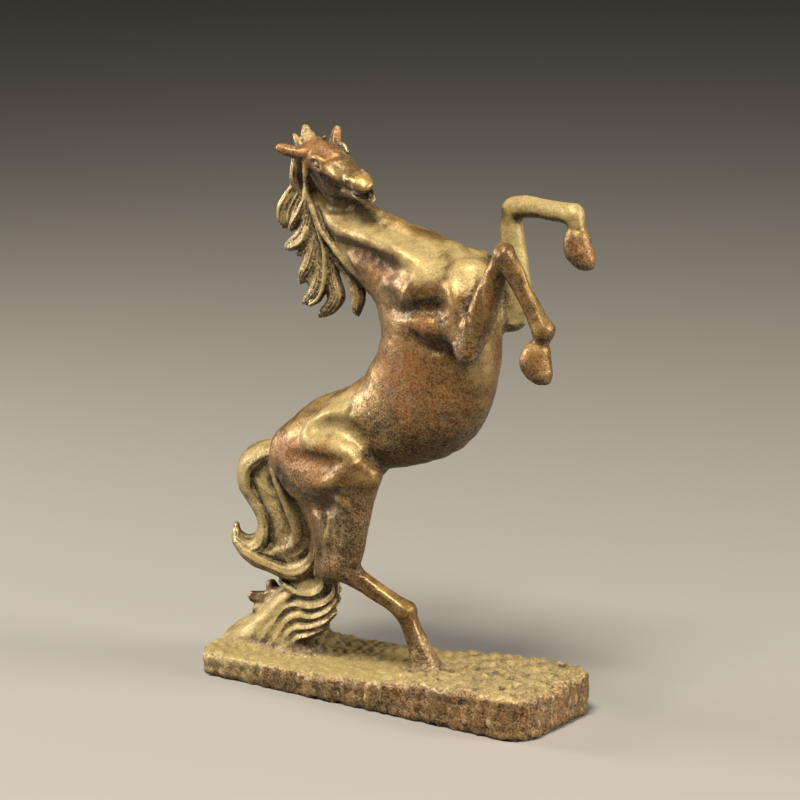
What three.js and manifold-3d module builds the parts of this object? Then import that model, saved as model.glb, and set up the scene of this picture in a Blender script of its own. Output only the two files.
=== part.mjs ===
// A rearing horse on a rough oblong plinth, cast in brass as one piece.
// Millimetres, +Z up. The horse faces +X and its near side is -Y.
// The origin is the middle of the plinth's flat underside.
//
// The horse is built as a modeller builds it. Oval profiles are carried along
// the bones, muscles and locks of hair are laid on as smaller masses, and a
// modelling tool draws furrows and ridges. Every mass is a distance field, so
// neighbours melt into each other. The finished field is skinned with
// triangles, the skin is thinned where it is smooth, and the underside is cut flat.
import * as THREE from 'three';
import { mergeVertices } from 'three/addons/utils/BufferGeometryUtils.js';
import Module from 'manifold-3d';

const PLINTH_LENGTH = 74.6;
const PLINTH_WIDTH = 24.8;
const PLINTH_LOW = 4.8;        // thickness at the tail end
const PLINTH_HIGH = 8.0;       // thickness at the head end
const PLINTH_CORNER = 5;       // radius of the corners seen from above
const PLINTH_EDGE = 1.3;       // radius of the worn top edge
const PLINTH_DENT = 0.3;       // depth of the hammered dents
const TAIL_SHEAR = 0.7;        // how far the tail's far side lags behind its near side, per mm between them
const TAIL_NEAR = 2;           // the tail is drawn at this distance on the near side
const CELL = 0.7;              // edge of a sampling cell
const BLOCK = 8;               // cells along the edge of a block that is skipped or sampled as a whole
const TRIANGLES = 9400;        // size of the thinned skin

const clamp = THREE.MathUtils.clamp;
const lerp = THREE.MathUtils.lerp;
const smoothstep = THREE.MathUtils.smoothstep;

// The smaller of two distances, rounded off where they are within k of each other.
function smoothMin(a, b, k) {
  const h = Math.max(k - Math.abs(a - b), 0) / k;
  return Math.min(a, b) - h * h * k / 4;
}

// Distance to an oval of semi-axes p, q, r from a point at u, v, w along them.
function ovalDistance(u, v, w, p, q, r) {
  const a = u / p, b = v / q, c = w / r;
  const k0 = Math.sqrt(a * a + b * b + c * c);
  if (k0 < 1e-4) return -Math.min(p, q, r);
  const k1 = Math.sqrt((a / p) ** 2 + (b / q) ** 2 + (c / r) ** 2);
  return k0 * (k0 - 1) / k1;
}

// An oval profile carried along a smooth path. Each row of the path is
// [x, y, z, deep, broad]: broad is the semi-axis along `side`, deep the one square to it.
class Sweep {
  constructor(rows, { side = [0, 1, 0], steps = 4 } = {}) {
    const full = rows.map(([x, y, z, deep, broad = deep]) => [x, y, z, deep, broad]);
    const line = new THREE.CatmullRomCurve3(full.map(r => new THREE.Vector3(r[0], r[1], r[2])));
    const girth = new THREE.CatmullRomCurve3(full.map(r => new THREE.Vector3(r[3], r[4], 0)));
    const spans = (rows.length - 1) * steps;
    const across = new THREE.Vector3(...side);
    this.count = spans;
    this.knots = new Float64Array((spans + 1) * 11);
    const place = new THREE.Vector3(), size = new THREE.Vector3();
    for (let i = 0; i <= spans; i++) {
      line.getPoint(i / spans, place);
      girth.getPoint(i / spans, size);
      const along = line.getTangent(i / spans);
      const lateral = across.clone().addScaledVector(along, -across.dot(along)).normalize();
      const normal = new THREE.Vector3().crossVectors(along, lateral);
      this.knots.set([...place, size.x, size.y, ...lateral, ...normal], i * 11);
    }
    this.bound = boundOf(full);
  }

  distance(x, y, z) {
    const k = this.knots;
    let best = Infinity;
    for (let i = 0; i < this.count; i++) {
      const o = i * 11, n = o + 11;
      const ex = k[n] - k[o], ey = k[n + 1] - k[o + 1], ez = k[n + 2] - k[o + 2];
      const dx = x - k[o], dy = y - k[o + 1], dz = z - k[o + 2];
      const len2 = ex * ex + ey * ey + ez * ez;
      const t = clamp((dx * ex + dy * ey + dz * ez) / len2, 0, 1);
      const vx = dx - t * ex, vy = dy - t * ey, vz = dz - t * ez;
      const deep = k[o + 3] + t * (k[n + 3] - k[o + 3]);
      const broad = k[o + 4] + t * (k[n + 4] - k[o + 4]);
      const reach = Math.max(deep, broad);
      const gap = Math.sqrt(vx * vx + vy * vy + vz * vz) - reach;
      if (gap > best) continue;
      const v = vx * (k[o + 5] + t * (k[n + 5] - k[o + 5])) + vy * (k[o + 6] + t * (k[n + 6] - k[o + 6]))
        + vz * (k[o + 7] + t * (k[n + 7] - k[o + 7]));
      const u = vx * (k[o + 8] + t * (k[n + 8] - k[o + 8])) + vy * (k[o + 9] + t * (k[n + 9] - k[o + 9]))
        + vz * (k[o + 10] + t * (k[n + 10] - k[o + 10]));
      const len = Math.sqrt(len2);
      const w = (vx * ex + vy * ey + vz * ez) / len;
      const d = ovalDistance(u, v, w, deep, broad, Math.min(deep, broad));
      if (d < best) best = d;
    }
    return best;
  }
}

// An oval mass: its middle, its semi-axes, and the way its first axis points.
class Mass {
  constructor(middle, radii, along = [1, 0, 0], side = [0, 1, 0]) {
    const a = new THREE.Vector3(...along).normalize();
    const s = new THREE.Vector3(...side);
    s.addScaledVector(a, -s.dot(a)).normalize();
    const n = new THREE.Vector3().crossVectors(a, s);
    this.middle = middle;
    this.radii = radii;
    this.axes = [...a, ...s, ...n];
    this.bound = { x: middle[0], y: middle[1], z: middle[2], reach: Math.max(...radii) };
  }

  distance(x, y, z) {
    const dx = x - this.middle[0], dy = y - this.middle[1], dz = z - this.middle[2];
    const m = this.axes;
    return ovalDistance(m[0] * dx + m[1] * dy + m[2] * dz, m[3] * dx + m[4] * dy + m[5] * dz,
      m[6] * dx + m[7] * dy + m[8] * dz, ...this.radii);
  }
}

// A ball that holds every row of a path.
function boundOf(rows) {
  const mid = [0, 1, 2].map(i => rows.reduce((sum, r) => sum + r[i], 0) / rows.length);
  const reach = Math.max(...rows.map(r => Math.hypot(r[0] - mid[0], r[1] - mid[1], r[2] - mid[2])
    + Math.max(r[3], r[4])));
  return { x: mid[0], y: mid[1], z: mid[2], reach: reach * 1.1 };
}

// A stroke of the modelling tool, drawn in space along the skin: a depth above 0
// is a furrow, below 0 a ridge. It fades to nothing at its width and towards its ends.
class Stroke {
  constructor(path, width, depth) {
    this.path = path;
    this.width = width;
    this.depth = depth;
    this.bound = boundOf(path.map(p => [...p, width, width]));
  }

  push(x, y, z) {
    const b = this.bound;
    if (Math.abs(x - b.x) > b.reach || Math.abs(y - b.y) > b.reach || Math.abs(z - b.z) > b.reach) return 0;
    let near = Infinity, share = 0;
    for (let i = 0; i + 1 < this.path.length; i++) {
      const [ax, ay, az] = this.path[i], [bx, by, bz] = this.path[i + 1];
      const ex = bx - ax, ey = by - ay, ez = bz - az;
      const dx = x - ax, dy = y - ay, dz = z - az;
      const t = clamp((dx * ex + dy * ey + dz * ez) / (ex * ex + ey * ey + ez * ez), 0, 1);
      const d = Math.hypot(dx - t * ex, dy - t * ey, dz - t * ez);
      if (d < near) {
        near = d;
        share = (i + t) / (this.path.length - 1);
      }
    }
    if (near >= this.width) return 0;
    const fall = (1 - (near / this.width) ** 2) ** 2;
    return this.depth * fall * Math.min(1, 4 * Math.min(share, 1 - share) + 0.3);
  }
}

// The body: barrel, neck and the muscles that both sides share.
const barrel = new Sweep([
  [13.2, 0, 80.6, 3.8, 6.2], [12.2, 0, 77.2, 8.9, 8.0], [11.3, 0, 71.5, 11.3, 9.0],
  [10.7, 0, 65.0, 11.7, 9.4], [8.3, 0, 58.3, 11.9, 9.4], [2.4, 0, 53.3, 9.8, 9.0],
  [-5.0, 0, 50.0, 8.2, 8.2], [-13.0, 0, 46.8, 7.8, 8.0], [-19.8, 0, 43.4, 5.4, 6.2],
  [-24.4, 0, 41.0, 2.9, 3.4],
]);
const neck = new Sweep([
  [6.8, 0, 77.2, 9.0, 6.2], [0.6, 0, 81.2, 8.0, 5.2], [-6.3, 0.1, 85.0, 6.3, 4.2],
  [-12.0, 0.8, 89.6, 4.7, 3.2], [-15.6, 1.4, 94.4, 3.8, 2.8], [-17.0, 1.0, 98.2, 3.2, 2.6],
]);
const shoulderMass = new Mass([10.6, 5.8, 77.6], [6.0, 3.6, 4.2], [1, 0, -0.1]);
const breastPoint = new Mass([15.2, 4.8, 79.6], [4.2, 3.6, 3.8]);
const girthPad = new Mass([14.2, 7.4, 72.6], [5.6, 2.4, 2.2], [1, 0.1, -0.3]);
const hipPoint = new Mass([-7.2, 6.4, 52.0], [3.8, 2.2, 2.1], [1, 0, -0.15]);
const neckBand = new Sweep([
  [-11.4, 1.7, 88.0, 1.5], [-7.0, 2.2, 86.6, 1.9], [-1.5, 3.4, 85.6, 2.3], [5.0, 4.6, 83.6, 2.8],
  [11.5, 5.4, 80.6, 3.0],
]);

// The legs. Each is a chain of sweeps from the body to the hoof.
const nearForeleg = [
  new Sweep([
    [19.6, -4.2, 80.8, 4.4, 3.6], [20.2, -6.2, 77.4, 4.0, 3.3], [21.4, -7.6, 72.8, 2.9, 2.9],
    [22.6, -8.8, 68.0, 1.7, 1.9],
  ]),
  new Sweep([
    [22.6, -8.8, 69.0, 2.2, 2.3], [25.0, -8.7, 74.6, 2.8, 2.6], [27.4, -8.7, 80.6, 2.3, 2.3],
    [29.4, -8.9, 85.4, 1.7, 1.8], [30.3, -9.0, 87.2, 1.7, 1.8],
  ]),
  new Sweep([
    [30.2, -9.0, 86.8, 2.0, 2.0], [32.0, -9.0, 84.4, 1.9, 1.8], [34.4, -9.0, 80.8, 1.55, 1.5],
    [36.6, -9.0, 77.4, 1.7, 1.6], [38.5, -9.0, 74.6, 2.1, 2.0],
  ]),
  new Sweep([
    [38.5, -9.0, 74.4, 1.8, 1.8], [38.1, -9.0, 72.4, 1.5, 1.5], [37.2, -9.0, 70.4, 2.5, 2.4],
    [36.9, -9.0, 68.8, 2.9, 2.7], [37.8, -9.0, 67.2, 2.3, 2.3], [39.1, -9.0, 66.0, 0.9, 1.2],
  ]),
];
const farForeleg = [
  new Sweep([[14.8, 5.4, 80.0, 3.6, 3.2], [19.0, 6.2, 76.0, 3.2, 3.0], [21.8, 6.6, 72.2, 2.1, 2.3]]),
  new Sweep([
    [22.2, 6.6, 72.2, 2.2, 2.4], [22.6, 6.5, 77.0, 2.9, 2.6], [22.0, 6.5, 84.0, 2.5, 2.3],
    [21.7, 6.5, 89.4, 2.0, 2.0], [22.0, 6.5, 91.6, 2.0, 2.0],
  ]),
  new Sweep([
    [22.2, 6.5, 92.2, 2.1, 2.0], [25.0, 6.0, 92.8, 2.0, 1.8], [29.0, 5.4, 92.8, 1.8, 1.6],
    [33.0, 4.9, 92.7, 1.8, 1.7], [35.6, 4.6, 92.6, 2.1, 2.0],
  ]),
  new Sweep([
    [36.0, 4.5, 92.2, 1.8, 1.8], [36.6, 4.5, 90.2, 1.6, 1.6], [36.6, 4.5, 88.0, 2.5, 2.4],
    [37.0, 4.5, 86.4, 2.6, 2.5], [38.1, 4.5, 84.9, 2.0, 2.1], [39.4, 4.5, 83.9, 0.8, 1.1],
  ]),
];
const nearHindleg = [
  new Sweep([
    [-19.6, -3.6, 43.6, 5.6, 4.6], [-14.5, -5.2, 43.0, 8.6, 5.0], [-8.0, -6.6, 43.4, 8.4, 4.8],
    [-3.2, -7.2, 43.5, 5.0, 4.4], [-0.9, -7.2, 43.1, 3.1, 3.4],
  ]),
  new Sweep([
    [-2.8, -7.0, 42.2, 4.5, 4.2], [-4.2, -6.8, 37.6, 4.5, 3.7], [-5.0, -6.4, 32.0, 3.8, 3.1],
    [-5.6, -5.9, 27.6, 3.1, 2.5], [-6.8, -5.5, 24.2, 2.6, 2.3],
  ]),
  new Sweep([[-6.4, -5.6, 25.2, 2.4, 2.2], [-8.6, -5.5, 23.8, 2.0, 1.9], [-11.0, -5.4, 22.8, 1.5, 1.5]]),
  new Sweep([
    [-7.1, -5.3, 23.6, 2.3, 2.2], [-2.4, -4.3, 21.1, 1.8, 1.8], [2.2, -3.3, 18.6, 1.7, 1.8],
    [5.0, -2.6, 17.1, 1.8, 2.0],
  ]),
  new Sweep([
    [4.9, -2.5, 16.8, 1.8, 2.0], [6.1, -1.9, 13.4, 1.7, 1.8], [7.1, -1.4, 10.4, 2.1, 2.1],
    [8.0, -1.0, 7.6, 2.6, 2.6], [8.6, -0.9, 5.6, 3.2, 3.1],
  ]),
];
const farHindleg = [
  new Sweep([
    [-19.6, 3.6, 43.6, 5.6, 4.6], [-14.5, 5.2, 43.6, 7.6, 5.0], [-9.5, 6.4, 45.0, 6.4, 4.6],
    [-7.0, 6.6, 45.4, 4.4, 4.0],
  ]),
  new Sweep([
    [-9.5, 6.5, 44.0, 4.6, 4.0], [-13.2, 6.4, 38.4, 4.4, 3.6], [-17.8, 6.2, 32.6, 3.4, 2.8],
    [-21.4, 6.0, 28.0, 2.5, 2.3],
  ]),
  new Sweep([[-21.4, 6.0, 28.0, 2.3, 2.1], [-23.6, 6.0, 28.2, 1.8, 1.7], [-25.4, 6.0, 28.6, 1.4, 1.4]]),
  new Sweep([
    [-22.0, 6.0, 27.2, 2.3, 2.1], [-22.4, 6.0, 21.4, 1.9, 1.8], [-22.9, 6.0, 16.0, 1.9, 1.8],
    [-23.4, 6.0, 13.2, 2.2, 2.1],
  ]),
  new Sweep([
    [-23.3, 6.0, 12.8, 2.0, 2.0], [-22.9, 6.1, 10.0, 1.9, 1.9], [-22.4, 6.2, 7.4, 2.4, 2.3],
    [-22.2, 6.2, 5.2, 2.9, 2.8], [-22.2, 6.2, 4.0, 3.1, 3.0],
  ]),
];

// The head has a frame of its own: `s` runs from the poll to the lips, `n` out
// of the forehead and `l` to the far side.
const HEAD_AT = new THREE.Vector3(-16.6, -1.4, 100.4);
const HEAD_TURN = 17;          // degrees towards the near side
const HEAD_DROP = 17;          // degrees below the level
const HEAD_TILT = 26;          // degrees of roll, far side up
const headFrame = (() => {
  const turn = THREE.MathUtils.degToRad(HEAD_TURN), drop = THREE.MathUtils.degToRad(HEAD_DROP);
  const s = new THREE.Vector3(1, 0, 0).applyAxisAngle(new THREE.Vector3(0, 1, 0), drop)
    .applyAxisAngle(new THREE.Vector3(0, 0, -1), turn);
  const level = new THREE.Vector3(0, 0, 1).cross(s).normalize();
  const l = level.clone().applyAxisAngle(s, THREE.MathUtils.degToRad(HEAD_TILT));
  const n = new THREE.Vector3().crossVectors(s, l);
  return { s, l, n };
})();
function headDirection(s, l, n) {
  const p = new THREE.Vector3().addScaledVector(headFrame.s, s);
  return [...p.addScaledVector(headFrame.l, l).addScaledVector(headFrame.n, n)];
}
function headPoint(s, l, n) {
  return [...new THREE.Vector3(...headDirection(s, l, n)).add(HEAD_AT)];
}
const headSide = headDirection(0, 1, 0);
// A sweep whose rows are [s, l, n, deep, broad] in the head's frame.
function headSweep(rows) {
  const placed = rows.map(([s, l, n, ...radii]) => [...headPoint(s, l, n), ...radii]);
  return new Sweep(placed, { side: headSide });
}
function headMass(at, radii, along = [1, 0, 0]) {
  return new Mass(headPoint(...at), radii, headDirection(...along), headSide);
}
// A shape made once for each side of the face: `make` is given -1 and 1.
function bothSides(make) {
  return [-1, 1].map(make);
}
const skull = headSweep([
  [0.6, 0, -0.6, 2.6, 2.5], [3.4, 0, -0.4, 3.0, 3.0], [6.4, 0, -0.2, 3.0, 3.3],
  [9.4, 0, -0.5, 2.4, 2.3], [12.0, 0, -0.4, 1.9, 1.9], [14.2, 0, 0.1, 1.55, 2.0],
  [15.8, 0, 0.2, 1.35, 1.95], [17.0, 0, 0.1, 0.95, 1.5],
]);
const lowerJaw = headSweep([
  [3.8, 0, -5.6, 2.1, 1.8], [8.0, 0, -5.0, 1.8, 1.7], [11.6, 0, -3.9, 1.4, 1.4],
  [14.6, 0, -3.2, 1.0, 1.2], [16.6, 0, -2.9, 0.95, 1.25], [17.8, 0, -2.5, 0.6, 0.95],
]);
const cheeks = bothSides(k => headMass([4.6, k * 1.4, -3.4], [4.2, 1.5, 4.6], [1, 0, 0.15]));
const brows = bothSides(k => headSweep([
  [4.9, k * 2.7, 1.9, 0.5], [5.8, k * 3.05, 2.25, 0.6], [7.0, k * 3.0, 2.3, 0.6], [8.1, k * 2.5, 1.9, 0.5],
]));
const foreheadRidge = headSweep([[2.6, 0.3, 2.2, 0.6], [5.2, 0.4, 2.6, 0.6], [8.2, 0.3, 2.15, 0.5]]);
const foreheadFacets = bothSides(k => headMass([5.8, k * 1.35, 3.7], [2.4, 0.9, 1.4]));
const eyeSockets = bothSides(k => headMass([6.6, k * 3.8, 1.4], [1.5, 0.9, 0.9], [1, 0, -0.2]));
const eyes = bothSides(k => headMass([6.6, k * 2.7, 1.4], [0.85, 0.75, 0.7], [1, 0, -0.1]));
const faceRidges = bothSides(k => headSweep([
  [7.8, k * 2.4, 0.6, 0.6], [9.2, k * 2.1, 0.3, 0.6], [11.2, k * 1.8, -0.1, 0.5],
]));
const browHollows = bothSides(k => headSweep([
  [8.4, k * 2.1, 2.5, 0.5], [9.8, k * 1.7, 2.2, 0.6], [12.0, k * 1.2, 2.0, 0.5],
]));
const faceHollows = bothSides(k => headSweep([
  [7.8, k * 3.1, -1.0, 0.8], [10.2, k * 2.6, -1.3, 0.8], [12.6, k * 2.2, -1.2, 0.6],
]));
const nostrilRims = bothSides(k => headMass([14.6, k * 1.5, 0.9], [1.2, 0.7, 0.6], [1, 0, -0.3]));
const mouth = headSweep([
  [13.6, 0, -1.1, 0.2, 2.4], [15.2, 0, -1.4, 0.6, 2.8], [17.0, 0, -1.5, 0.75, 3.0],
  [19.0, 0, -1.4, 0.85, 3.2],
]);
const ears = [
  new Sweep([
    [-15.6, -3.4, 99.5, 1.2, 1.0], [-18.2, -4.4, 100.0, 1.25, 1.05], [-20.0, -5.0, 100.4, 1.1, 1.0],
    [-20.9, -5.3, 100.7, 0.85, 0.8],
  ]),
  new Sweep([
    [-14.0, 1.8, 100.4, 1.3, 1.0], [-14.5, 2.8, 101.8, 1.2, 0.95], [-14.8, 3.6, 103.0, 1.05, 0.85],
    [-14.9, 4.0, 103.6, 0.75, 0.65],
  ]),
];
const forelock = [
  new Sweep([
    [-15.4, -2.6, 98.6, 1.9, 1.0], [-16.6, -2.1, 100.6, 2.4, 1.1], [-17.8, -1.3, 102.5, 1.8, 0.9],
    [-18.5, -0.8, 104.1, 0.8, 0.6],
  ]),
  new Sweep([
    [-16.4, -1.2, 99.6, 1.3, 1.1], [-17.2, -0.8, 101.4, 1.2, 1.0], [-18.0, -0.6, 102.8, 0.7, 0.7],
  ]),
  new Sweep([
    [-16.6, -3.0, 99.0, 0.9, 0.9], [-18.6, -2.4, 100.8, 1.1, 0.9], [-19.8, -1.8, 102.0, 0.7, 0.7],
    [-20.4, -1.6, 102.6, 0.4, 0.4],
  ]),
  new Sweep([
    [-16.6, -2.8, 100.4, 0.9, 0.8], [-15.8, -3.7, 98.8, 1.0, 0.8], [-15.9, -4.0, 96.8, 0.8, 0.7],
    [-16.4, -3.9, 95.0, 0.5, 0.5],
  ]),
];

// Locks of hair. A row is [x, z, half-width]; the whole lock lies at one y and has one half-thickness,
// which thins where the lock is narrower than at its second row.
function lock(rows, y, thick) {
  return new Sweep(rows.map(([x, z, wide]) => [x, y, z, wide, thick * clamp(wide / rows[1][2], 0.45, 1)]));
}
const maneRoot = new Sweep([
  [-19.0, 0, 98.0, 1.6, 1.4], [-19.4, 0, 93.0, 1.8, 1.4], [-18.0, 0, 87.6, 2.2, 1.4],
  [-15.0, 0, 83.0, 2.6, 1.4], [-11.0, 0, 80.6, 2.2, 1.4], [-6.8, 0, 78.6, 1.8, 1.5],
  [-3.0, 0, 76.0, 1.2, 1.3],
]);
// Broad ribbons behind the locks close the mane between them.
const maneBacking = [
  lock([
    [-20.2, 97.4, 1.3], [-20.6, 93.3, 1.7], [-21.6, 90.4, 2.3], [-22.7, 87.9, 1.9], [-22.8, 86.4, 0.9],
  ], 0, 1.7),
  lock([
    [-18.4, 93.5, 1.4], [-17.8, 89.9, 1.9], [-17.1, 86.2, 2.2], [-17.2, 82.5, 2.4], [-17.5, 79.3, 2.0],
    [-17.0, 76.0, 1.9], [-16.6, 74.2, 1.2],
  ], 0, 1.7),
  lock([
    [-14.8, 89.2, 1.4], [-13.9, 84.7, 1.9], [-13.7, 79.7, 1.7], [-13.7, 76.4, 1.3], [-13.2, 74.2, 1.3],
    [-13.4, 72.6, 0.9],
  ], 0, 1.6),
  lock([[-10.3, 82.3, 1.5], [-8.5, 79.2, 1.6], [-7.0, 75.7, 1.4], [-6.9, 72.6, 0.6]], -0.1, 1.5),
];
const maneLocks = [
  lock([
    [-20.2, 97.4, 1.3], [-20.6, 93.3, 1.7], [-21.6, 90.4, 2.3], [-22.7, 87.9, 1.9], [-22.8, 86.4, 0.9],
  ], 0.0, 1.7),
  lock([
    [-18.4, 93.5, 1.4], [-17.8, 89.9, 1.9], [-17.1, 86.2, 2.2], [-17.2, 82.5, 2.4], [-17.5, 79.3, 2.0],
    [-17.0, 76.0, 1.9], [-16.6, 74.2, 1.2],
  ], 0.0, 1.7),
  lock([
    [-14.8, 89.2, 1.4], [-13.9, 84.7, 1.9], [-13.7, 79.7, 1.7], [-13.7, 76.4, 1.3], [-13.2, 74.2, 1.3],
    [-13.4, 72.6, 0.9],
  ], 0.0, 1.6),
  lock([[-10.3, 82.3, 1.5], [-8.5, 79.2, 1.6], [-7.0, 75.7, 1.4], [-6.9, 72.6, 0.6]], -0.1, 1.5),
  lock([[-20.3, 98.0, 1.2], [-20.5, 95.7, 1.45], [-20.3, 94.1, 1.45], [-19.7, 92.3, 1.0]], -1.0, 1.3),
  lock([[-18.0, 97.0, 0.8], [-17.6, 93.6, 1.0], [-17.4, 90.4, 1.0], [-18.4, 87.4, 0.8]], -1.2, 1.2),
  lock([
    [-18.7, 93.7, 1.1], [-19.8, 91.7, 2.2], [-21.0, 89.8, 3.0], [-21.8, 88.0, 3.1], [-21.9, 86.5, 2.3],
    [-21.8, 85.2, 0.9],
  ], -0.5, 1.5),
  lock([
    [-21.0, 92.9, 0.8], [-22.5, 90.7, 1.1], [-23.6, 88.8, 1.1], [-23.9, 87.0, 0.9], [-23.3, 85.5, 0.6],
  ], -1.1, 1.2),
  lock([
    [-17.8, 92.9, 0.7], [-18.0, 90.8, 0.9], [-19.2, 88.5, 0.9], [-20.6, 86.5, 0.9], [-21.5, 85.2, 0.6],
  ], -1.4, 1.2),
  lock([
    [-17.3, 92.0, 0.9], [-16.9, 89.4, 1.3], [-17.4, 86.8, 1.7], [-18.7, 84.2, 1.9], [-20.6, 82.7, 1.55],
    [-22.1, 81.9, 1.0], [-23.0, 81.7, 0.6],
  ], -1.0, 1.4),
  lock([[-17.2, 85.6, 0.7], [-18.2, 83.4, 0.8], [-20.0, 82.2, 0.8], [-21.6, 81.7, 0.5]], -1.9, 0.9),
  lock([
    [-16.7, 86.5, 0.9], [-16.7, 83.9, 1.3], [-17.9, 81.5, 1.3], [-19.6, 80.7, 0.8], [-20.5, 80.4, 0.45],
  ], -0.8, 1.3),
  lock([
    [-16.2, 85.1, 0.9], [-16.3, 81.7, 1.45], [-17.2, 79.2, 1.8], [-18.3, 77.4, 1.6], [-19.4, 75.9, 0.9],
    [-19.8, 75.3, 0.5],
  ], -0.9, 1.4),
  lock([
    [-15.3, 81.8, 0.9], [-14.9, 78.1, 1.45], [-15.2, 75.5, 1.8], [-16.5, 73.4, 1.55], [-18.1, 72.1, 1.1],
    [-19.1, 71.6, 0.55],
  ], -0.8, 1.3),
  lock([
    [-14.2, 83.0, 1.1], [-12.9, 79.5, 1.4], [-12.3, 76.5, 1.4], [-11.6, 73.7, 1.7], [-13.0, 71.4, 1.4],
    [-14.5, 70.3, 1.0], [-15.4, 69.7, 0.6],
  ], -0.8, 1.3),
  lock([
    [-14.6, 85.6, 0.8], [-12.4, 81.8, 1.0], [-9.8, 79.4, 1.2], [-7.6, 77.0, 1.45], [-6.8, 74.4, 1.6],
    [-6.9, 72.2, 1.1], [-6.9, 70.7, 0.5],
  ], -0.9, 1.3),
  lock([
    [-17.5, 94.5, 0.35], [-16.4, 90.2, 0.45], [-14.9, 86.3, 0.5], [-13.5, 82.4, 0.55], [-13.2, 78.7, 0.55],
    [-13.6, 75.3, 0.55], [-15.0, 72.7, 0.5], [-16.8, 71.6, 0.35],
  ], -1.9, 0.8),
  lock([
    [-16.0, 89.9, 0.45], [-13.3, 85.4, 0.65], [-9.7, 81.8, 0.85], [-6.6, 79.2, 0.85], [-3.7, 77.3, 0.7],
    [-1.5, 75.2, 0.5],
  ], -2.1, 1.1),
];
// The tail is drawn at its near face, y = -TAIL_NEAR. Deeper in, it is shifted back by TAIL_SHEAR.
const tailCore = new Sweep([
  [-23.6, 0, 42.8, 2.2, 2.2], [-27.8, 0, 39.6, 3.6, 2.6], [-27.8, 0, 34.6, 4.2, 2.7],
  [-23.0, 0, 30.2, 5.2, 2.9], [-22.2, 0, 24.4, 4.8, 3.0], [-18.0, 0, 17.4, 4.6, 3.2],
  [-19.4, 0, 11.0, 6.0, 3.8], [-22.6, 0, 5.4, 8.6, 4.8],
]);
const tailSheet = new Sweep([
  [-16.4, 0, 39.0, 4.4, 2.8], [-13.8, 0, 33.0, 4.6, 2.9], [-12.6, 0, 27.0, 4.4, 3.0],
  [-13.4, 0, 21.0, 3.4, 3.1], [-14.8, 0, 15.0, 3.2, 3.4],
]);
const tailLocks = [
  lock([
    [-24.8, 43.0, 1.2], [-29.4, 41.0, 1.8], [-32.3, 38.0, 2.0], [-32.2, 34.9, 1.8], [-30.2, 32.3, 1.6],
    [-28.5, 29.8, 1.5], [-28.1, 27.0, 1.6], [-28.9, 24.4, 1.6], [-31.0, 23.1, 1.5], [-33.2, 23.2, 1.3],
    [-34.7, 24.4, 1.1], [-34.8, 25.8, 0.8],
  ], 1.6, 2.1),
  lock([
    [-30.4, 39.2, 1.0], [-29.2, 36.1, 1.2], [-26.6, 34.6, 1.3], [-23.6, 33.7, 1.3], [-22.0, 31.2, 1.0],
  ], 1.6, 1.3),
  lock([
    [-22.4, 37.6, 1.0], [-18.8, 32.8, 1.2], [-17.5, 29.3, 1.2], [-17.8, 26.3, 1.1], [-19.7, 24.1, 1.1],
    [-22.5, 22.9, 1.0], [-26.3, 22.8, 1.0], [-30.1, 23.0, 0.8],
  ], 2.0, 1.5),
  lock([
    [-19.4, 35.4, 1.0], [-16.8, 30.7, 1.1], [-15.9, 26.9, 1.3], [-16.6, 23.4, 1.6], [-19.2, 20.8, 1.8],
    [-22.5, 19.9, 1.7], [-26.3, 20.5, 1.5], [-30.0, 21.2, 1.6], [-32.9, 22.4, 1.2],
  ], 2.3, 1.7),
  lock([
    [-16.4, 35.6, 1.0], [-14.4, 31.4, 1.2], [-13.4, 27.4, 1.2], [-13.8, 23.6, 1.1], [-14.8, 20.6, 0.7],
  ], 2.3, 1.5),
  lock([
    [-14.1, 21.4, 0.9], [-14.1, 18.7, 1.0], [-16.4, 16.8, 1.1], [-19.5, 16.3, 1.0], [-22.0, 16.8, 0.9],
    [-24.2, 17.8, 0.6],
  ], 2.3, 1.5),
  lock([
    [-11.5, 20.6, 0.9], [-11.5, 17.9, 1.0], [-13.4, 15.8, 1.1], [-16.9, 14.3, 1.0], [-20.6, 14.0, 0.9],
    [-23.0, 13.2, 0.9], [-24.7, 11.5, 1.0], [-26.4, 9.0, 1.1], [-28.8, 6.4, 1.1],
  ], 2.5, 1.6),
  lock([
    [-10.9, 16.9, 0.9], [-13.2, 14.2, 1.0], [-16.7, 12.4, 1.0], [-20.0, 12.0, 0.9], [-22.6, 10.7, 0.9],
    [-24.2, 8.5, 1.0], [-26.1, 6.1, 1.0],
  ], 2.8, 1.6),
  lock([
    [-11.6, 14.2, 0.7], [-14.3, 11.8, 0.9], [-17.6, 10.4, 0.9], [-20.7, 9.6, 0.9], [-22.8, 8.0, 0.8],
    [-24.2, 6.1, 0.7],
  ], 3.1, 1.6),
  lock([[-13.2, 11.4, 0.6], [-16.7, 9.4, 0.8], [-19.7, 8.2, 0.8], [-21.9, 6.6, 0.6]], 3.3, 1.6),
  lock([
    [-21.4, 16.2, 1.1], [-24.4, 13.5, 1.5], [-27.1, 10.5, 1.6], [-30.2, 7.8, 1.6], [-33.6, 5.5, 1.5],
    [-36.6, 3.9, 1.0],
  ], 1.7, 2.0),
];
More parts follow.
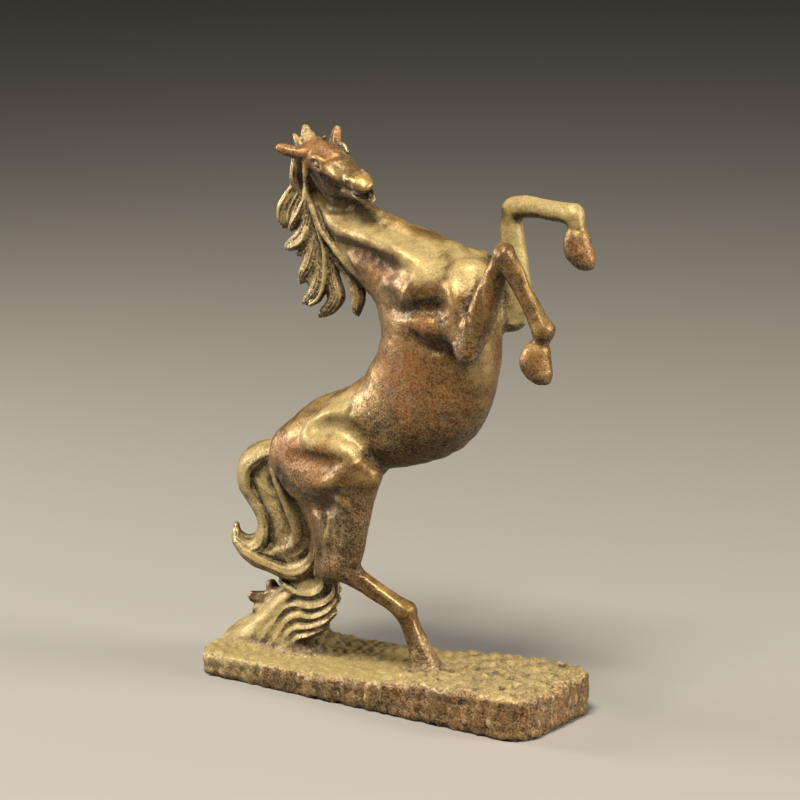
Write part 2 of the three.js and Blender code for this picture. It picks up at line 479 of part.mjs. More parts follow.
// Hair that hangs beside the near gaskin and joins it to the tail.
const tailSide = [
  new Sweep([
    [-12.6, -4.6, 36.4, 1.8, 2.4], [-9.8, -6.0, 31.6, 2.0, 2.4], [-9.0, -5.8, 27.0, 1.8, 2.2],
    [-10.6, -4.6, 21.6, 1.5, 1.8],
  ]),
  new Sweep([
    [-15.2, -4.4, 36.4, 1.4, 1.8], [-12.6, -5.4, 31.8, 1.5, 1.9], [-11.8, -5.2, 26.8, 1.4, 1.8],
    [-13.2, -4.4, 21.8, 1.0, 1.4],
  ]),
  new Sweep([
    [-24.4, -2.0, 38.6, 1.3, 1.6], [-22.2, -2.6, 35.6, 1.6, 1.8], [-20.4, -2.8, 32.4, 1.6, 1.8],
    [-19.2, -2.8, 29.2, 1.3, 1.6], [-18.6, -2.8, 26.8, 0.8, 1.2],
  ]),
];
const tailSkirt = new Sweep([
  [-22.0, 0.5, 11.0, 3.0, 3.6], [-28.0, 0.8, 6.6, 3.4, 4.6], [-33.0, 1.0, 3.6, 2.6, 5.6],
]);
const tailTips = [
  new Sweep([
    [-24.0, 1.8, 14.6, 1.7, 1.3], [-28.6, 2.2, 12.8, 1.5, 1.2], [-31.4, 2.0, 12.0, 1.5, 1.2],
    [-33.6, 1.4, 12.3, 1.1, 1.0],
  ]),
  new Sweep([[-26.6, 2.4, 12.2, 1.6, 1.4], [-29.2, 2.6, 13.6, 1.5, 1.2], [-30.0, 2.8, 15.0, 1.1, 1.0]]),
  new Sweep([[-28.4, 1.8, 11.4, 1.4, 1.2], [-31.2, 1.6, 10.4, 1.3, 1.1], [-32.6, 1.4, 10.0, 0.9, 0.9]]),
];

// Strokes drawn on both flanks at once, neck first, then shoulder, barrel and haunch.
const flankStrokes = [
  new Stroke([
    [-12.0, 3.5, 88.6], [-9.2, 3.6, 86.5], [-5.8, 4.1, 86.0], [-0.8, 6.0, 86.1],
    [3.4, 7.0, 85.5], [9.5, 7.7, 83.4],
  ], 2.6, -0.75),
  new Stroke([
    [-9.8, 3.4, 84.6], [-6.5, 3.7, 83.8], [-2.8, 4.0, 83.2], [0.9, 4.8, 82.6],
    [5.3, 7.3, 82.0], [8.2, 8.3, 81.4],
  ], 3.2, 0.85),
  new Stroke([[15.6, 0.0, 85.4], [16.1, 2.0, 84.9], [15.6, 4.2, 84.2]], 2.4, 0.8),
  new Stroke([[11.0, 9.2, 79.0], [12.4, 9.3, 78.1]], 3.2, -0.6),
  new Stroke([
    [4.5, 7.1, 73.5], [8.1, 7.8, 74.1], [12.0, 8.8, 75.2], [15.0, 8.7, 75.9], [18.3, 10.8, 76.1],
    [20.6, 11.1, 72.9], [22.6, 11.2, 68.5],
  ], 1.8, 0.6),
  new Stroke([[18.3, 9.0, 81.5], [20.0, 10.1, 77.8], [22.1, 10.7, 73.3]], 1.8, -0.5),
  new Stroke([[10.0, 9.1, 70.5], [12.8, 8.7, 69.5], [15.3, 8.0, 68.6], [17.2, 7.3, 68.4]], 1.7, 0.55),
  new Stroke([[9.8, 8.9, 73.2], [12.5, 9.4, 72.6], [15.6, 9.8, 72.4]], 2.6, -0.5),
  new Stroke([[-9.0, 7.9, 54.4], [-6.0, 8.0, 54.8], [-3.6, 8.0, 54.0]], 3.0, -0.6),
  new Stroke([
    [-9.4, 9.0, 51.2], [-6.8, 9.2, 51.6], [-4.2, 8.9, 51.6], [-1.2, 8.6, 50.6], [1.6, 8.4, 49.2],
  ], 2.3, 0.7),
  new Stroke([
    [-9.6, 8.3, 53.0], [-11.9, 8.8, 51.4], [-12.2, 9.6, 49.6], [-10.8, 10.2, 48.2], [-7.2, 10.2, 47.8],
    [-3.2, 10.2, 47.6], [0.6, 9.6, 47.0],
  ], 2.5, -0.8),
  new Stroke([[-15.8, 9.9, 44.2], [-10.7, 11.2, 44.8], [-6.2, 11.7, 45.0], [-2.7, 11.7, 45.8]], 2.2, 0.85),
  new Stroke([[-11.4, 10.9, 42.6], [-8.0, 11.4, 42.2], [-5.0, 11.9, 43.0], [-2.6, 11.8, 44.8]], 2.2, -0.8),
  new Stroke([[2.0, 8.8, 51.9], [4.6, 8.5, 50.7]], 3.5, 0.4),
];
// Strokes on the near side alone: under the haunch, down the gaskin, under the jaw and along the face.
const nearStrokes = [
  new Stroke([
    [-19.0, -7.8, 40.2], [-16.6, -8.4, 37.8], [-13.4, -8.4, 36.2], [-10.0, -8.8, 35.8], [-7.4, -9.4, 36.6],
    [-5.8, -10.2, 38.2],
  ], 2.7, 1.5),
  new Stroke([[-5.0, -10.4, 38.4], [-3.4, -10.6, 38.2], [-2.6, -10.4, 36.8]], 1.3, -0.9),
  new Stroke([[-6.9, -9.2, 35.2], [-7.2, -9.2, 33.4], [-8.0, -8.4, 31.0], [-8.5, -8.2, 28.2]], 1.2, -0.5),
  new Stroke([[-4.6, -10.3, 35.9], [-4.8, -9.7, 32.8], [-5.8, -8.8, 29.2]], 1.3, 0.45),
  new Stroke([
    [-15.8, -2.0, 92.6], [-14.2, -2.0, 90.8], [-11.8, -2.4, 90.0], [-9.4, -2.4, 90.2], [-6.8, -1.8, 90.6],
  ], 1.6, 1.0),
  new Stroke([[-12.0, -6.0, 97.0], [-10.6, -5.0, 95.9], [-9.4, -4.6, 95.0], [-7.8, -4.4, 94.0]], 1.3, 0.5),
];

// The plinth: a slab with rounded corners and worn edges, thicker towards the horse's head.
// It is drawn a little below z = 0, where the underside is cut.
const PLINTH_BELOW = 1.4;
const PLINTH_FOOT = 1.4;       // the walls draw in below this height
function plinthTop(x) {
  return lerp(PLINTH_LOW, PLINTH_HIGH, smoothstep(x, -14, 32));
}
// Dents from the hammer: upright furrows on the walls, slanting waves on the top.
function dents(x, y, z) {
  const furrow = Math.sin(1.2 * x + 1.45 * y + 0.9 * Math.sin(0.7 * z));
  return furrow * (0.65 + 0.35 * Math.sin(0.55 * x - 0.8 * y + 0.9 * z));
}
function plinthDistance(x, y, z) {
  const qx = Math.max(Math.abs(x) - (PLINTH_LENGTH / 2 - PLINTH_CORNER), 0);
  const qy = Math.max(Math.abs(y) - (PLINTH_WIDTH / 2 - PLINTH_CORNER), 0);
  const foot = 0.35 * Math.max(PLINTH_FOOT - z, 0) ** 2;
  const wall = Math.hypot(qx, qy) - PLINTH_CORNER + PLINTH_EDGE + foot;
  const lid = z - plinthTop(x) + PLINTH_EDGE;
  const corner = Math.hypot(Math.max(wall, 0), Math.max(lid, 0)) + Math.min(Math.max(wall, lid), 0);
  const rounded = corner - PLINTH_EDGE;
  return Math.max(rounded + PLINTH_DENT * dents(x, y, z), -PLINTH_BELOW - z);
}

// Lays shapes on one after another. `blends` is the width over which each melts into what is
// there already, one for all or one for each. A kind is `fold` for both sides at once, `lean`
// for the tail's shear, or `cut` for a hollow.
function lay(shapes, blends, kind = {}) {
  return shapes.map((shape, i) => ({ shape, blend: Array.isArray(blends) ? blends[i] : blends, ...kind }));
}
const clay = [
  ...lay([barrel, neck], [0.1, 4]),
  ...lay([shoulderMass, breastPoint, neckBand], [1.6, 2.5, 1.5], { fold: true }),
  ...lay([girthPad, hipPoint], 1.2, { fold: true }),
  ...lay(nearHindleg, [1.6, 1.3, 1.2, 1.2, 1.0]),
  ...lay(farHindleg, [1.8, 1.5, 1.2, 1.2, 1.0]),
  ...lay(nearForeleg, [2.8, 0.9, 0.8, 0.6]),
  ...lay(farForeleg, [2.4, 1.0, 0.8, 0.6]),
  ...lay([skull, lowerJaw, ...cheeks], [1.6, 0.8, 0.8, 0.8]),
  ...lay(faceHollows, 0.9, { cut: true }),
  ...lay([foreheadRidge], 1.2),
  ...lay([...foreheadFacets, ...browHollows], 0.7, { cut: true }),
  ...lay([...brows, ...faceRidges], 0.7),
  ...lay(nostrilRims, 0.4),
  ...lay([mouth, ...eyeSockets], 0.4, { cut: true }),
  ...lay(eyes, 0.15),
  ...lay(ears, 0.6),
  ...lay([maneRoot], 0.8),
  ...lay([...maneBacking, ...maneLocks, ...forelock], 0.4),
  ...lay([tailCore, tailSheet], 1.2, { lean: true }),
  ...lay(tailLocks, 0.4, { fold: true, lean: true }),
  ...lay(tailSide, 0.5),
  ...lay([tailSkirt], 1.5),
  ...lay(tailTips, 0.6),
];
const SLAB_BLEND = 1.2;        // how widely a leg melts into the plinth
const TAIL_FRONT = -9;         // x where the tail's wider blend with the plinth begins
const TAIL_BACK = -15;         // x where it is full
const STROKE_REACH = 2.5;      // strokes are worked out only this near the skin
const FAR = 60;                // a distance larger than any that matters
const TAIL_BLEND = 3.4;        // how widely the tail does

function statueDistance(x, y, z) {
  let d = FAR;
  for (const { shape, blend, fold, cut, lean } of clay) {
    const b = shape.bound;
    const px = lean ? x + TAIL_SHEAR * (y + TAIL_NEAR) : x;
    const py = fold ? Math.abs(y) : y;
    const away = Math.sqrt((px - b.x) ** 2 + (py - b.y) ** 2 + (z - b.z) ** 2) - b.reach;
    if (cut) {
      if (away < blend - d) d = -smoothMin(-d, shape.distance(px, py, z), blend);
    } else if (away < d + blend) {
      d = smoothMin(d, shape.distance(px, py, z), blend);
    }
  }
  if (Math.abs(d) < STROKE_REACH) {
    for (const stroke of flankStrokes) d += stroke.push(x, Math.abs(y), z);
    for (const stroke of nearStrokes) d += stroke.push(x, y, z);
  }
  const tail = smoothstep(-x, -TAIL_FRONT, -TAIL_BACK);
  return smoothMin(d, plinthDistance(x, y, z), lerp(SLAB_BLEND, TAIL_BLEND, tail));
}

// Samples the field on a grid and returns the skin of marching tetrahedra, which is always closed.
function skin(field, low, high, cell) {
  const n = [0, 1, 2].map(i => Math.ceil((high[i] - low[i]) / cell) + 1);
  const values = new Float32Array(n[0] * n[1] * n[2]).fill(10);
  const index = (i, j, k) => (k * n[1] + j) * n[0] + i;
  const half = BLOCK * cell / 2;
  const radius = half * Math.sqrt(3);
  const at = (i, j, k, more = 0) => field(...[i, j, k].map((v, axis) => low[axis] + v * cell + more));
  // Calls `visit` for every step of three counters.
  const march = (from, to, step, visit) => {
    for (let k = from[2]; k < to[2]; k += step) {
      for (let j = from[1]; j < to[1]; j += step) {
        for (let i = from[0]; i < to[0]; i += step) visit(i, j, k);
      }
    }
  };
  march([0, 0, 0], n, BLOCK, (i, j, k) => {
    const middle = at(i, j, k, half);
    const skip = Math.abs(middle) > radius * 1.6 + 1;
    const ends = [Math.min(i + BLOCK, n[0]), Math.min(j + BLOCK, n[1]), Math.min(k + BLOCK, n[2])];
    march([i, j, k], ends, 1, (a, b, c) => {
      values[index(a, b, c)] = skip ? middle : at(a, b, c);
    });
  });
  const corner = [[0, 0, 0], [1, 0, 0], [0, 1, 0], [1, 1, 0], [0, 0, 1], [1, 0, 1], [0, 1, 1], [1, 1, 1]];
  const tetrahedra = [[0, 1, 3, 7], [0, 3, 2, 7], [0, 2, 6, 7], [0, 6, 4, 7], [0, 4, 5, 7], [0, 5, 1, 7]];
  const positions = [], triangles = [], made = new Map();
  const total = n[0] * n[1] * n[2];
  // The point where the surface crosses the grid edge from a to b, made once and shared.
  const crossing = (a, b) => {
    const key = a < b ? a * total + b : b * total + a;
    let found = made.get(key);
    if (found === undefined) {
      const t = values[a] / (values[a] - values[b]);
      const place = v => [v % n[0], Math.floor(v / n[0]) % n[1], Math.floor(v / (n[0] * n[1]))];
      const pa = place(a), pb = place(b);
      const share = clamp(t, 0.02, 0.98);
      found = positions.length / 3;
      for (let i = 0; i < 3; i++) positions.push(low[i] + (pa[i] + share * (pb[i] - pa[i])) * cell);
      made.set(key, found);
    }
    return found;
  };
  march([0, 0, 0], n.map(v => v - 1), 1, (i, j, k) => {
    const ids = corner.map(([a, b, c]) => index(i + a, j + b, k + c));
    const inside = ids.map(id => values[id] < 0);
    if (inside.every(v => v) || !inside.some(v => v)) return;
    for (const tetra of tetrahedra) {
      const within = tetra.filter(v => inside[v]), without = tetra.filter(v => !inside[v]);
      if (within.length === 0 || without.length === 0) continue;
      const flip = orientation(tetra.map(v => corner[v]), within, without, corner);
      const cross = (a, b) => crossing(ids[a], ids[b]);
      if (within.length === 2) {
        const ends = [[0, 0], [0, 1], [1, 1], [1, 0]];
        const q = ends.map(([a, b]) => cross(within[a], without[b]));
        const order = flip ? [0, 2, 1, 0, 3, 2] : [0, 1, 2, 0, 2, 3];
        triangles.push(...order.map(v => q[v]));
      } else {
        const [apex, base] = within.length === 1 ? [within[0], without] : [without[0], within];
        const q = base.map(v => cross(apex, v));
        triangles.push(...(flip ? [q[0], q[2], q[1]] : q));
      }
    }
  });
  return { positions, triangles };
}

// True if the triangle that separates `within` from `without` has to be turned to face outwards.
function orientation(points, within, without, corner) {
  const mid = (a, b) => corner[a].map((v, i) => (v + corner[b][i]) / 2);
  const q = within.length === 1 ? without.map(v => mid(within[0], v))
    : within.length === 3 ? within.map(v => mid(v, without[0]))
      : [mid(within[0], without[0]), mid(within[0], without[1]), mid(within[1], without[1])];
  const e = [0, 1].map(j => q[j + 1].map((v, i) => v - q[0][i]));
  const normal = [[1, 2], [2, 0], [0, 1]].map(([i, j]) => e[0][i] * e[1][j] - e[0][j] * e[1][i]);
  const centre = list => [0, 1, 2].map(i => list.reduce((sum, v) => sum + corner[v][i], 0) / list.length);
  const a = centre(within), b = centre(without);
  return normal.reduce((sum, v, i) => sum + v * (b[i] - a[i]), 0) < 0;
}

// Keeps the largest connected piece of a skin, which leaves out pockets sealed inside the mass.
function outermost({ positions, triangles }) {
  const owner = Int32Array.from({ length: positions.length / 3 }, (_, i) => i);
  const find = v => {
    while (owner[v] !== v) {
      owner[v] = owner[owner[v]];
      v = owner[v];
    }
    return v;
  };
  for (let t = 0; t < triangles.length; t += 3) {
    owner[find(triangles[t + 1])] = find(triangles[t]);
    owner[find(triangles[t + 2])] = find(triangles[t]);
  }
  const size = new Map();
  for (let t = 0; t < triangles.length; t += 3) {
    const v = find(triangles[t]);
    size.set(v, (size.get(v) ?? 0) + 1);
  }
  const main = [...size].reduce((a, b) => (b[1] > a[1] ? b : a))[0];
  const kept = [];
  for (let t = 0; t < triangles.length; t += 3) {
    if (find(triangles[t]) === main) kept.push(triangles[t], triangles[t + 1], triangles[t + 2]);
  }
  return { positions, triangles: kept };
}

// Thins a closed skin to `target` triangles. The edge whose loss moves the surface least goes first.
// `care` says how much a misplaced surface matters at a point.
function thin({ positions, triangles }, target, care) {
  const p = Float64Array.from(positions), f = Int32Array.from(triangles);
  const count = p.length / 3;
  const q = new Float64Array(count * 10);
  const stamp = new Int32Array(count);
  const ring = Array.from({ length: count }, () => new Set());
  const normalOf = (a, b, c) => {
    const ux = p[b] - p[a], uy = p[b + 1] - p[a + 1], uz = p[b + 2] - p[a + 2];
    const vx = p[c] - p[a], vy = p[c + 1] - p[a + 1], vz = p[c + 2] - p[a + 2];
    return [uy * vz - uz * vy, uz * vx - ux * vz, ux * vy - uy * vx];
  };
  for (let t = 0; t < f.length; t += 3) {
    const [a, b, c] = [f[t] * 3, f[t + 1] * 3, f[t + 2] * 3];
    const n = normalOf(a, b, c);
    const area = Math.hypot(...n);
    if (area > 1e-12) {
      const [x, y, z] = n.map(v => v / area);
      const w = -(x * p[a] + y * p[a + 1] + z * p[a + 2]);
      const k = area * care(p[a], p[a + 1], p[a + 2]);
      const plane = [x * x, x * y, x * z, x * w, y * y, y * z, y * w, z * z, z * w, w * w];
      for (const v of [f[t], f[t + 1], f[t + 2]]) {
        for (let i = 0; i < 10; i++) q[v * 10 + i] += k * plane[i];
      }
    }
    for (const v of [f[t], f[t + 1], f[t + 2]]) ring[v].add(t);
  }
  const sum = new Float64Array(10);
  const error = (x, y, z) => sum[0] * x * x + sum[4] * y * y + sum[7] * z * z + sum[9]
    + 2 * (sum[1] * x * y + sum[2] * x * z + sum[5] * y * z + sum[3] * x + sum[6] * y + sum[8] * z);
  // Where the merged corner of the edge a-b should lie, and what that costs.
  const plan = (a, b) => {
    for (let i = 0; i < 10; i++) sum[i] = q[a * 10 + i] + q[b * 10 + i];
    const mid = [0, 1, 2].map(i => (p[a * 3 + i] + p[b * 3 + i]) / 2);
    const span = Math.hypot(...[0, 1, 2].map(i => p[a * 3 + i] - p[b * 3 + i]));
    const hold = 1e-3 * (sum[0] + sum[4] + sum[7]) + 1e-9;
    const [A, B, C, D, E, F] = [sum[0] + hold, sum[1], sum[2], sum[4] + hold, sum[5], sum[7] + hold];
    const r = [hold * mid[0] - sum[3], hold * mid[1] - sum[6], hold * mid[2] - sum[8]];
    const det = A * (D * F - E * E) - B * (B * F - C * E) + C * (B * E - C * D);
    let at = [
      (r[0] * (D * F - E * E) - B * (r[1] * F - E * r[2]) + C * (r[1] * E - D * r[2])) / det,
      (A * (r[1] * F - E * r[2]) - r[0] * (B * F - C * E) + C * (B * r[2] - r[1] * C)) / det,
      (A * (D * r[2] - r[1] * E) - B * (B * r[2] - r[1] * C) + r[0] * (B * E - C * D)) / det,
    ];
    if (!(Math.hypot(at[0] - mid[0], at[1] - mid[1], at[2] - mid[2]) < 1.5 * span + 0.01)) at = mid;
    return { cost: error(...at) + 1e-5 * span * span, a, b, sa: stamp[a], sb: stamp[b], at };
  };
  const heap = [];
  const push = item => {
    let i = heap.push(item) - 1;
    while (i > 0) {
      const up = (i - 1) >> 1;
      if (heap[up].cost <= item.cost) break;
      heap[i] = heap[up];
      i = up;
    }
    heap[i] = item;
  };
  const pop = () => {
    const top = heap[0], last = heap.pop();
    if (heap.length === 0) return top;
    let i = 0;
    while (2 * i + 1 < heap.length) {
      let down = 2 * i + 1;
      if (down + 1 < heap.length && heap[down + 1].cost < heap[down].cost) down++;
      if (heap[down].cost >= last.cost) break;
      heap[i] = heap[down];
      i = down;
    }
    heap[i] = last;
    return top;
  };
  const neighbours = v => {
    const out = new Set();
    for (const t of ring[v]) for (let i = 0; i < 3; i++) if (f[t + i] !== v) out.add(f[t + i]);
    return out;
  };
  // True if moving corner v to `at` turns over or flattens a triangle that does not hold `gone`.
  const spoils = (v, gone, at) => {
    for (const t of ring[v]) {
      const ids = [f[t], f[t + 1], f[t + 2]];
      if (ids.includes(gone)) continue;
      const before = normalOf(...ids.map(i => i * 3));
      const kept = [p[v * 3], p[v * 3 + 1], p[v * 3 + 2]];
      p.set(at, v * 3);
      const after = normalOf(...ids.map(i => i * 3));
      p.set(kept, v * 3);
      const [m, n] = [Math.hypot(...before), Math.hypot(...after)];
      const agree = before[0] * after[0] + before[1] * after[1] + before[2] * after[2];
      if (n < 1e-4 || agree < 0.3 * m * n) return true;
    }
    return false;
  };
  let left = f.length / 3;
  for (let t = 0; t < f.length; t += 3) for (let i = 0; i < 3; i++) {
    const [a, b] = [f[t + i], f[t + (i + 1) % 3]];
    if (a < b) push(plan(a, b));
  }
  while (left > target && heap.length > 0) {
    const { a, b, sa, sb, at } = pop();
    if (stamp[a] !== sa || stamp[b] !== sb) continue;
    const [na, nb] = [neighbours(a), neighbours(b)];
    if ([...na].filter(v => nb.has(v)).length !== 2) continue;
    if (spoils(a, b, at) || spoils(b, a, at)) continue;
    p.set(at, a * 3);
    for (let i = 0; i < 10; i++) q[a * 10 + i] += q[b * 10 + i];
    for (const t of ring[b]) {
      const ids = [f[t], f[t + 1], f[t + 2]];
      if (ids.includes(a)) {
        for (const v of ids) if (v !== b) ring[v].delete(t);
        f[t] = -1;
        left--;
      } else {
        for (let i = 0; i < 3; i++) if (f[t + i] === b) f[t + i] = a;
        ring[a].add(t);
      }
    }
    ring[b].clear();
    stamp[b] = -1;
    stamp[a]++;
    for (const v of neighbours(a)) push(plan(a, v));
  }
  const named = new Map(), points = [], faces = [];
  for (let t = 0; t < f.length; t += 3) {
    if (f[t] < 0) continue;
    for (let i = 0; i < 3; i++) {
      const v = f[t + i];
      if (!named.has(v)) {
        named.set(v, points.length / 3);
        points.push(p[v * 3], p[v * 3 + 1], p[v * 3 + 2]);
      }
      faces.push(named.get(v));
    }
  }
  return { positions: points, triangles: faces };
}

const wasm = await Module();
wasm.setup();
function solid({ positions, triangles }) {
  return new wasm.Manifold(new wasm.Mesh({
    numProp: 3, vertProperties: Float32Array.from(positions), triVerts: Uint32Array.from(triangles),
  }));
}

// The head is thinned with the most care, then the horse, then the dents of the plinth.
// The part below z = 0 is cut away and hardly matters.
const care = (x, y, z) => (z < -0.3 ? 0.002 : z < 9 ? 0.12 : 1) * (x < -4 && z > 92 ? 3 : 1);
const FIELD_LOW = [-42, -16, -3];
const FIELD_HIGH = [45, 16, 108];
const raw = outermost(skin(statueDistance, FIELD_LOW, FIELD_HIGH, CELL));
const thinned = thin(raw, TRIANGLES, care);

// The box that is taken away below z = 0 leaves the underside flat.
const box = new THREE.BoxGeometry(100, 60, 20).translate(0, 0, -10);
const below = mergeVertices(box.deleteAttribute('normal').deleteAttribute('uv'));
const cutter = solid({ positions: below.attributes.position.array, triangles: below.index.array });
const cast = solid(thinned).subtract(cutter).getMesh();
const geometry = new THREE.BufferGeometry();
geometry.setAttribute('position', new THREE.Float32BufferAttribute(cast.vertProperties, 3));
geometry.setIndex([...cast.triVerts]);

const brass = new THREE.MeshStandardMaterial({ color: 0x8a6a3a, roughness: 0.42, metalness: 0.9 });
const horse = new THREE.Mesh(geometry, brass);
horse.name = 'rearing_horse_statue';
const group = new THREE.Group();
group.add(horse);
export default group;
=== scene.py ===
# %% [markdown]
# A small horse, cast in brass in one pour together with the slab it rears on.
# The real one is modelled in wax or clay, cast in sand and rubbed over, so it has
# no flat faces and no seams. Each form melts into the next.
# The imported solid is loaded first. It gives the true size and the place of everything.

import bpy
import numpy as np
from mathutils import Matrix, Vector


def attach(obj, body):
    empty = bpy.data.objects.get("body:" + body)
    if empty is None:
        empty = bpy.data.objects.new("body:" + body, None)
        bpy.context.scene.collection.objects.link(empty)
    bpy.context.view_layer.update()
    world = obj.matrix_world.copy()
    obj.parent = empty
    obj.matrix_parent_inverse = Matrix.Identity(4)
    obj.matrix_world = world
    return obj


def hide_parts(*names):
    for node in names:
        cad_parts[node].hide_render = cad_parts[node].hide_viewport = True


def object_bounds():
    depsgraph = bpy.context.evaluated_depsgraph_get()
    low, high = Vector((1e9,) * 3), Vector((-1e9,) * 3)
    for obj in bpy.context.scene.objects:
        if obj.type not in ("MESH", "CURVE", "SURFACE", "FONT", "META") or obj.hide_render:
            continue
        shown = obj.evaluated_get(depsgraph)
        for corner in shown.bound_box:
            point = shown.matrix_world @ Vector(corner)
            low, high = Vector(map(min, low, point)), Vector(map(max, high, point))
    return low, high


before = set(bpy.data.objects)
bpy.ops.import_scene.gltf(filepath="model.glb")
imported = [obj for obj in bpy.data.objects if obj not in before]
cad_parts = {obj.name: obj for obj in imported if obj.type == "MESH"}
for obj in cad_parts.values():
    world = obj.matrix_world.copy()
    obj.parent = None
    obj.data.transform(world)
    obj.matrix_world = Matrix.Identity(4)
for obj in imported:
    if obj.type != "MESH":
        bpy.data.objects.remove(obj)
cad_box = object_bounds()
print("CAD box in mm:", [[round(v * 1000, 1) for v in corner] for corner in cad_box])

# %% [markdown]
# The camera stands where the photograph was taken from: a little to the right of the
# flank, a little above the back, and far enough away for the four corners of the slab to
# fall where the photograph has them. Distance and lens were worked out from those corners.

# %% Camera
AZIMUTH = np.radians(35.2)
ELEVATION = np.radians(12.94)
LOOK_AT = np.array([1.92, 0.0, 55.76]) / 1000
DISTANCE = 0.600
FOCAL_PIXELS = 3300
PICTURE_PIXELS = 800
SENSOR_MM = 36
level_back = np.array([np.sin(AZIMUTH), -np.cos(AZIMUTH), 0])
back = level_back * np.cos(ELEVATION) + np.array([0, 0, np.sin(ELEVATION)])
camera = bpy.data.objects.new("camera", bpy.data.cameras.new("camera"))
camera.data.lens = FOCAL_PIXELS / PICTURE_PIXELS * SENSOR_MM
camera.data.sensor_width = SENSOR_MM
camera.data.clip_start = 0.01
camera.location = LOOK_AT + back * DISTANCE
camera.rotation_euler = (np.pi / 2 - ELEVATION, 0, AZIMUTH)
bpy.context.scene.collection.objects.link(camera)
bpy.context.scene.camera = camera
bpy.context.scene.view_settings.view_transform = "Standard"
print("camera at", [round(v, 4) for v in camera.location])

# %% [markdown]
# A form without seams is hard to make from patches: every place where a leg grows out of
# the body would need its own join. Here the horse is one distance field instead. For any
# point in space the field says how far away the surface is, and two masses are joined by
# taking the smaller distance, rounded off where they are nearly equal. Each mass is a
# profile carried along a path, worked out for whole arrays of points at once.

# %% Blending and ovals
def smooth_min(a, b, k):
    """The smaller of two distances, lowered by (k - |a - b|)^2 / 4k where they differ by less than k."""
    h = np.maximum(k - np.abs(a - b), 0) / k
    return np.minimum(a, b) - h * h * (k / 4)


def oval(u, v, w, p, q, r):
    """Distance to an oval: with g the length of (u/p, v/q, w/r), g (g - 1) / |(u/p^2, v/q^2, w/r^2)|."""
    a, b, c = u / p, v / q, w / r
    g = np.sqrt(a * a + b * b + c * c)
    slope = np.sqrt((a / p) ** 2 + (b / q) ** 2 + (c / r) ** 2)
    return g * (g - 1) / np.maximum(slope, 1e-6)


print("two walls 1 mm away, blended over 2 mm:", smooth_min(1.0, 1.0, 2.0), "mm away")

# %% Smooth paths
def spline(points, steps):
    """Centripetal Catmull-Rom curve: between two points a cubic whose end slopes come from the neighbours,
    with each span's length in the parameter the square root of its length in space."""
    points = np.asarray(points, float)
    ends = np.vstack([2 * points[0] - points[1], points, 2 * points[-1] - points[-2]])
    gap = np.linalg.norm(np.diff(ends, axis=0), axis=1) ** 0.5
    share = np.arange(len(points) * steps - steps + 1) / steps
    span = np.minimum(share.astype(int), len(points) - 2)
    t = (share - span)[:, None]
    p0, p1, p2, p3 = (ends[span + i] for i in range(4))
    d0, d1, d2 = (gap[span + i][:, None] for i in range(3))
    d1 = np.where(d1 < 1e-2, 1.0, d1)
    d0, d2 = np.where(d0 < 1e-2, d1, d0), np.where(d2 < 1e-2, d1, d2)
    m1 = d1 * ((p1 - p0) / d0 - (p2 - p0) / (d0 + d1) + (p2 - p1) / d1)
    m2 = d1 * ((p2 - p1) / d1 - (p3 - p1) / (d1 + d2) + (p3 - p2) / d2)
    begun = (2 * t**3 - 3 * t**2 + 1) * p1 + (t**3 - 2 * t**2 + t) * m1
    return begun + (3 * t**2 - 2 * t**3) * p2 + (t**3 - t**2) * m2


def unit(v):
    """Each row divided by its length."""
    return v / np.maximum(np.linalg.norm(v, axis=-1, keepdims=True), 1e-9)


print("half-way along a bend's first leg:", spline([[0, 0, 0], [10, 0, 0], [10, 10, 0]], 2)[1].round(2))

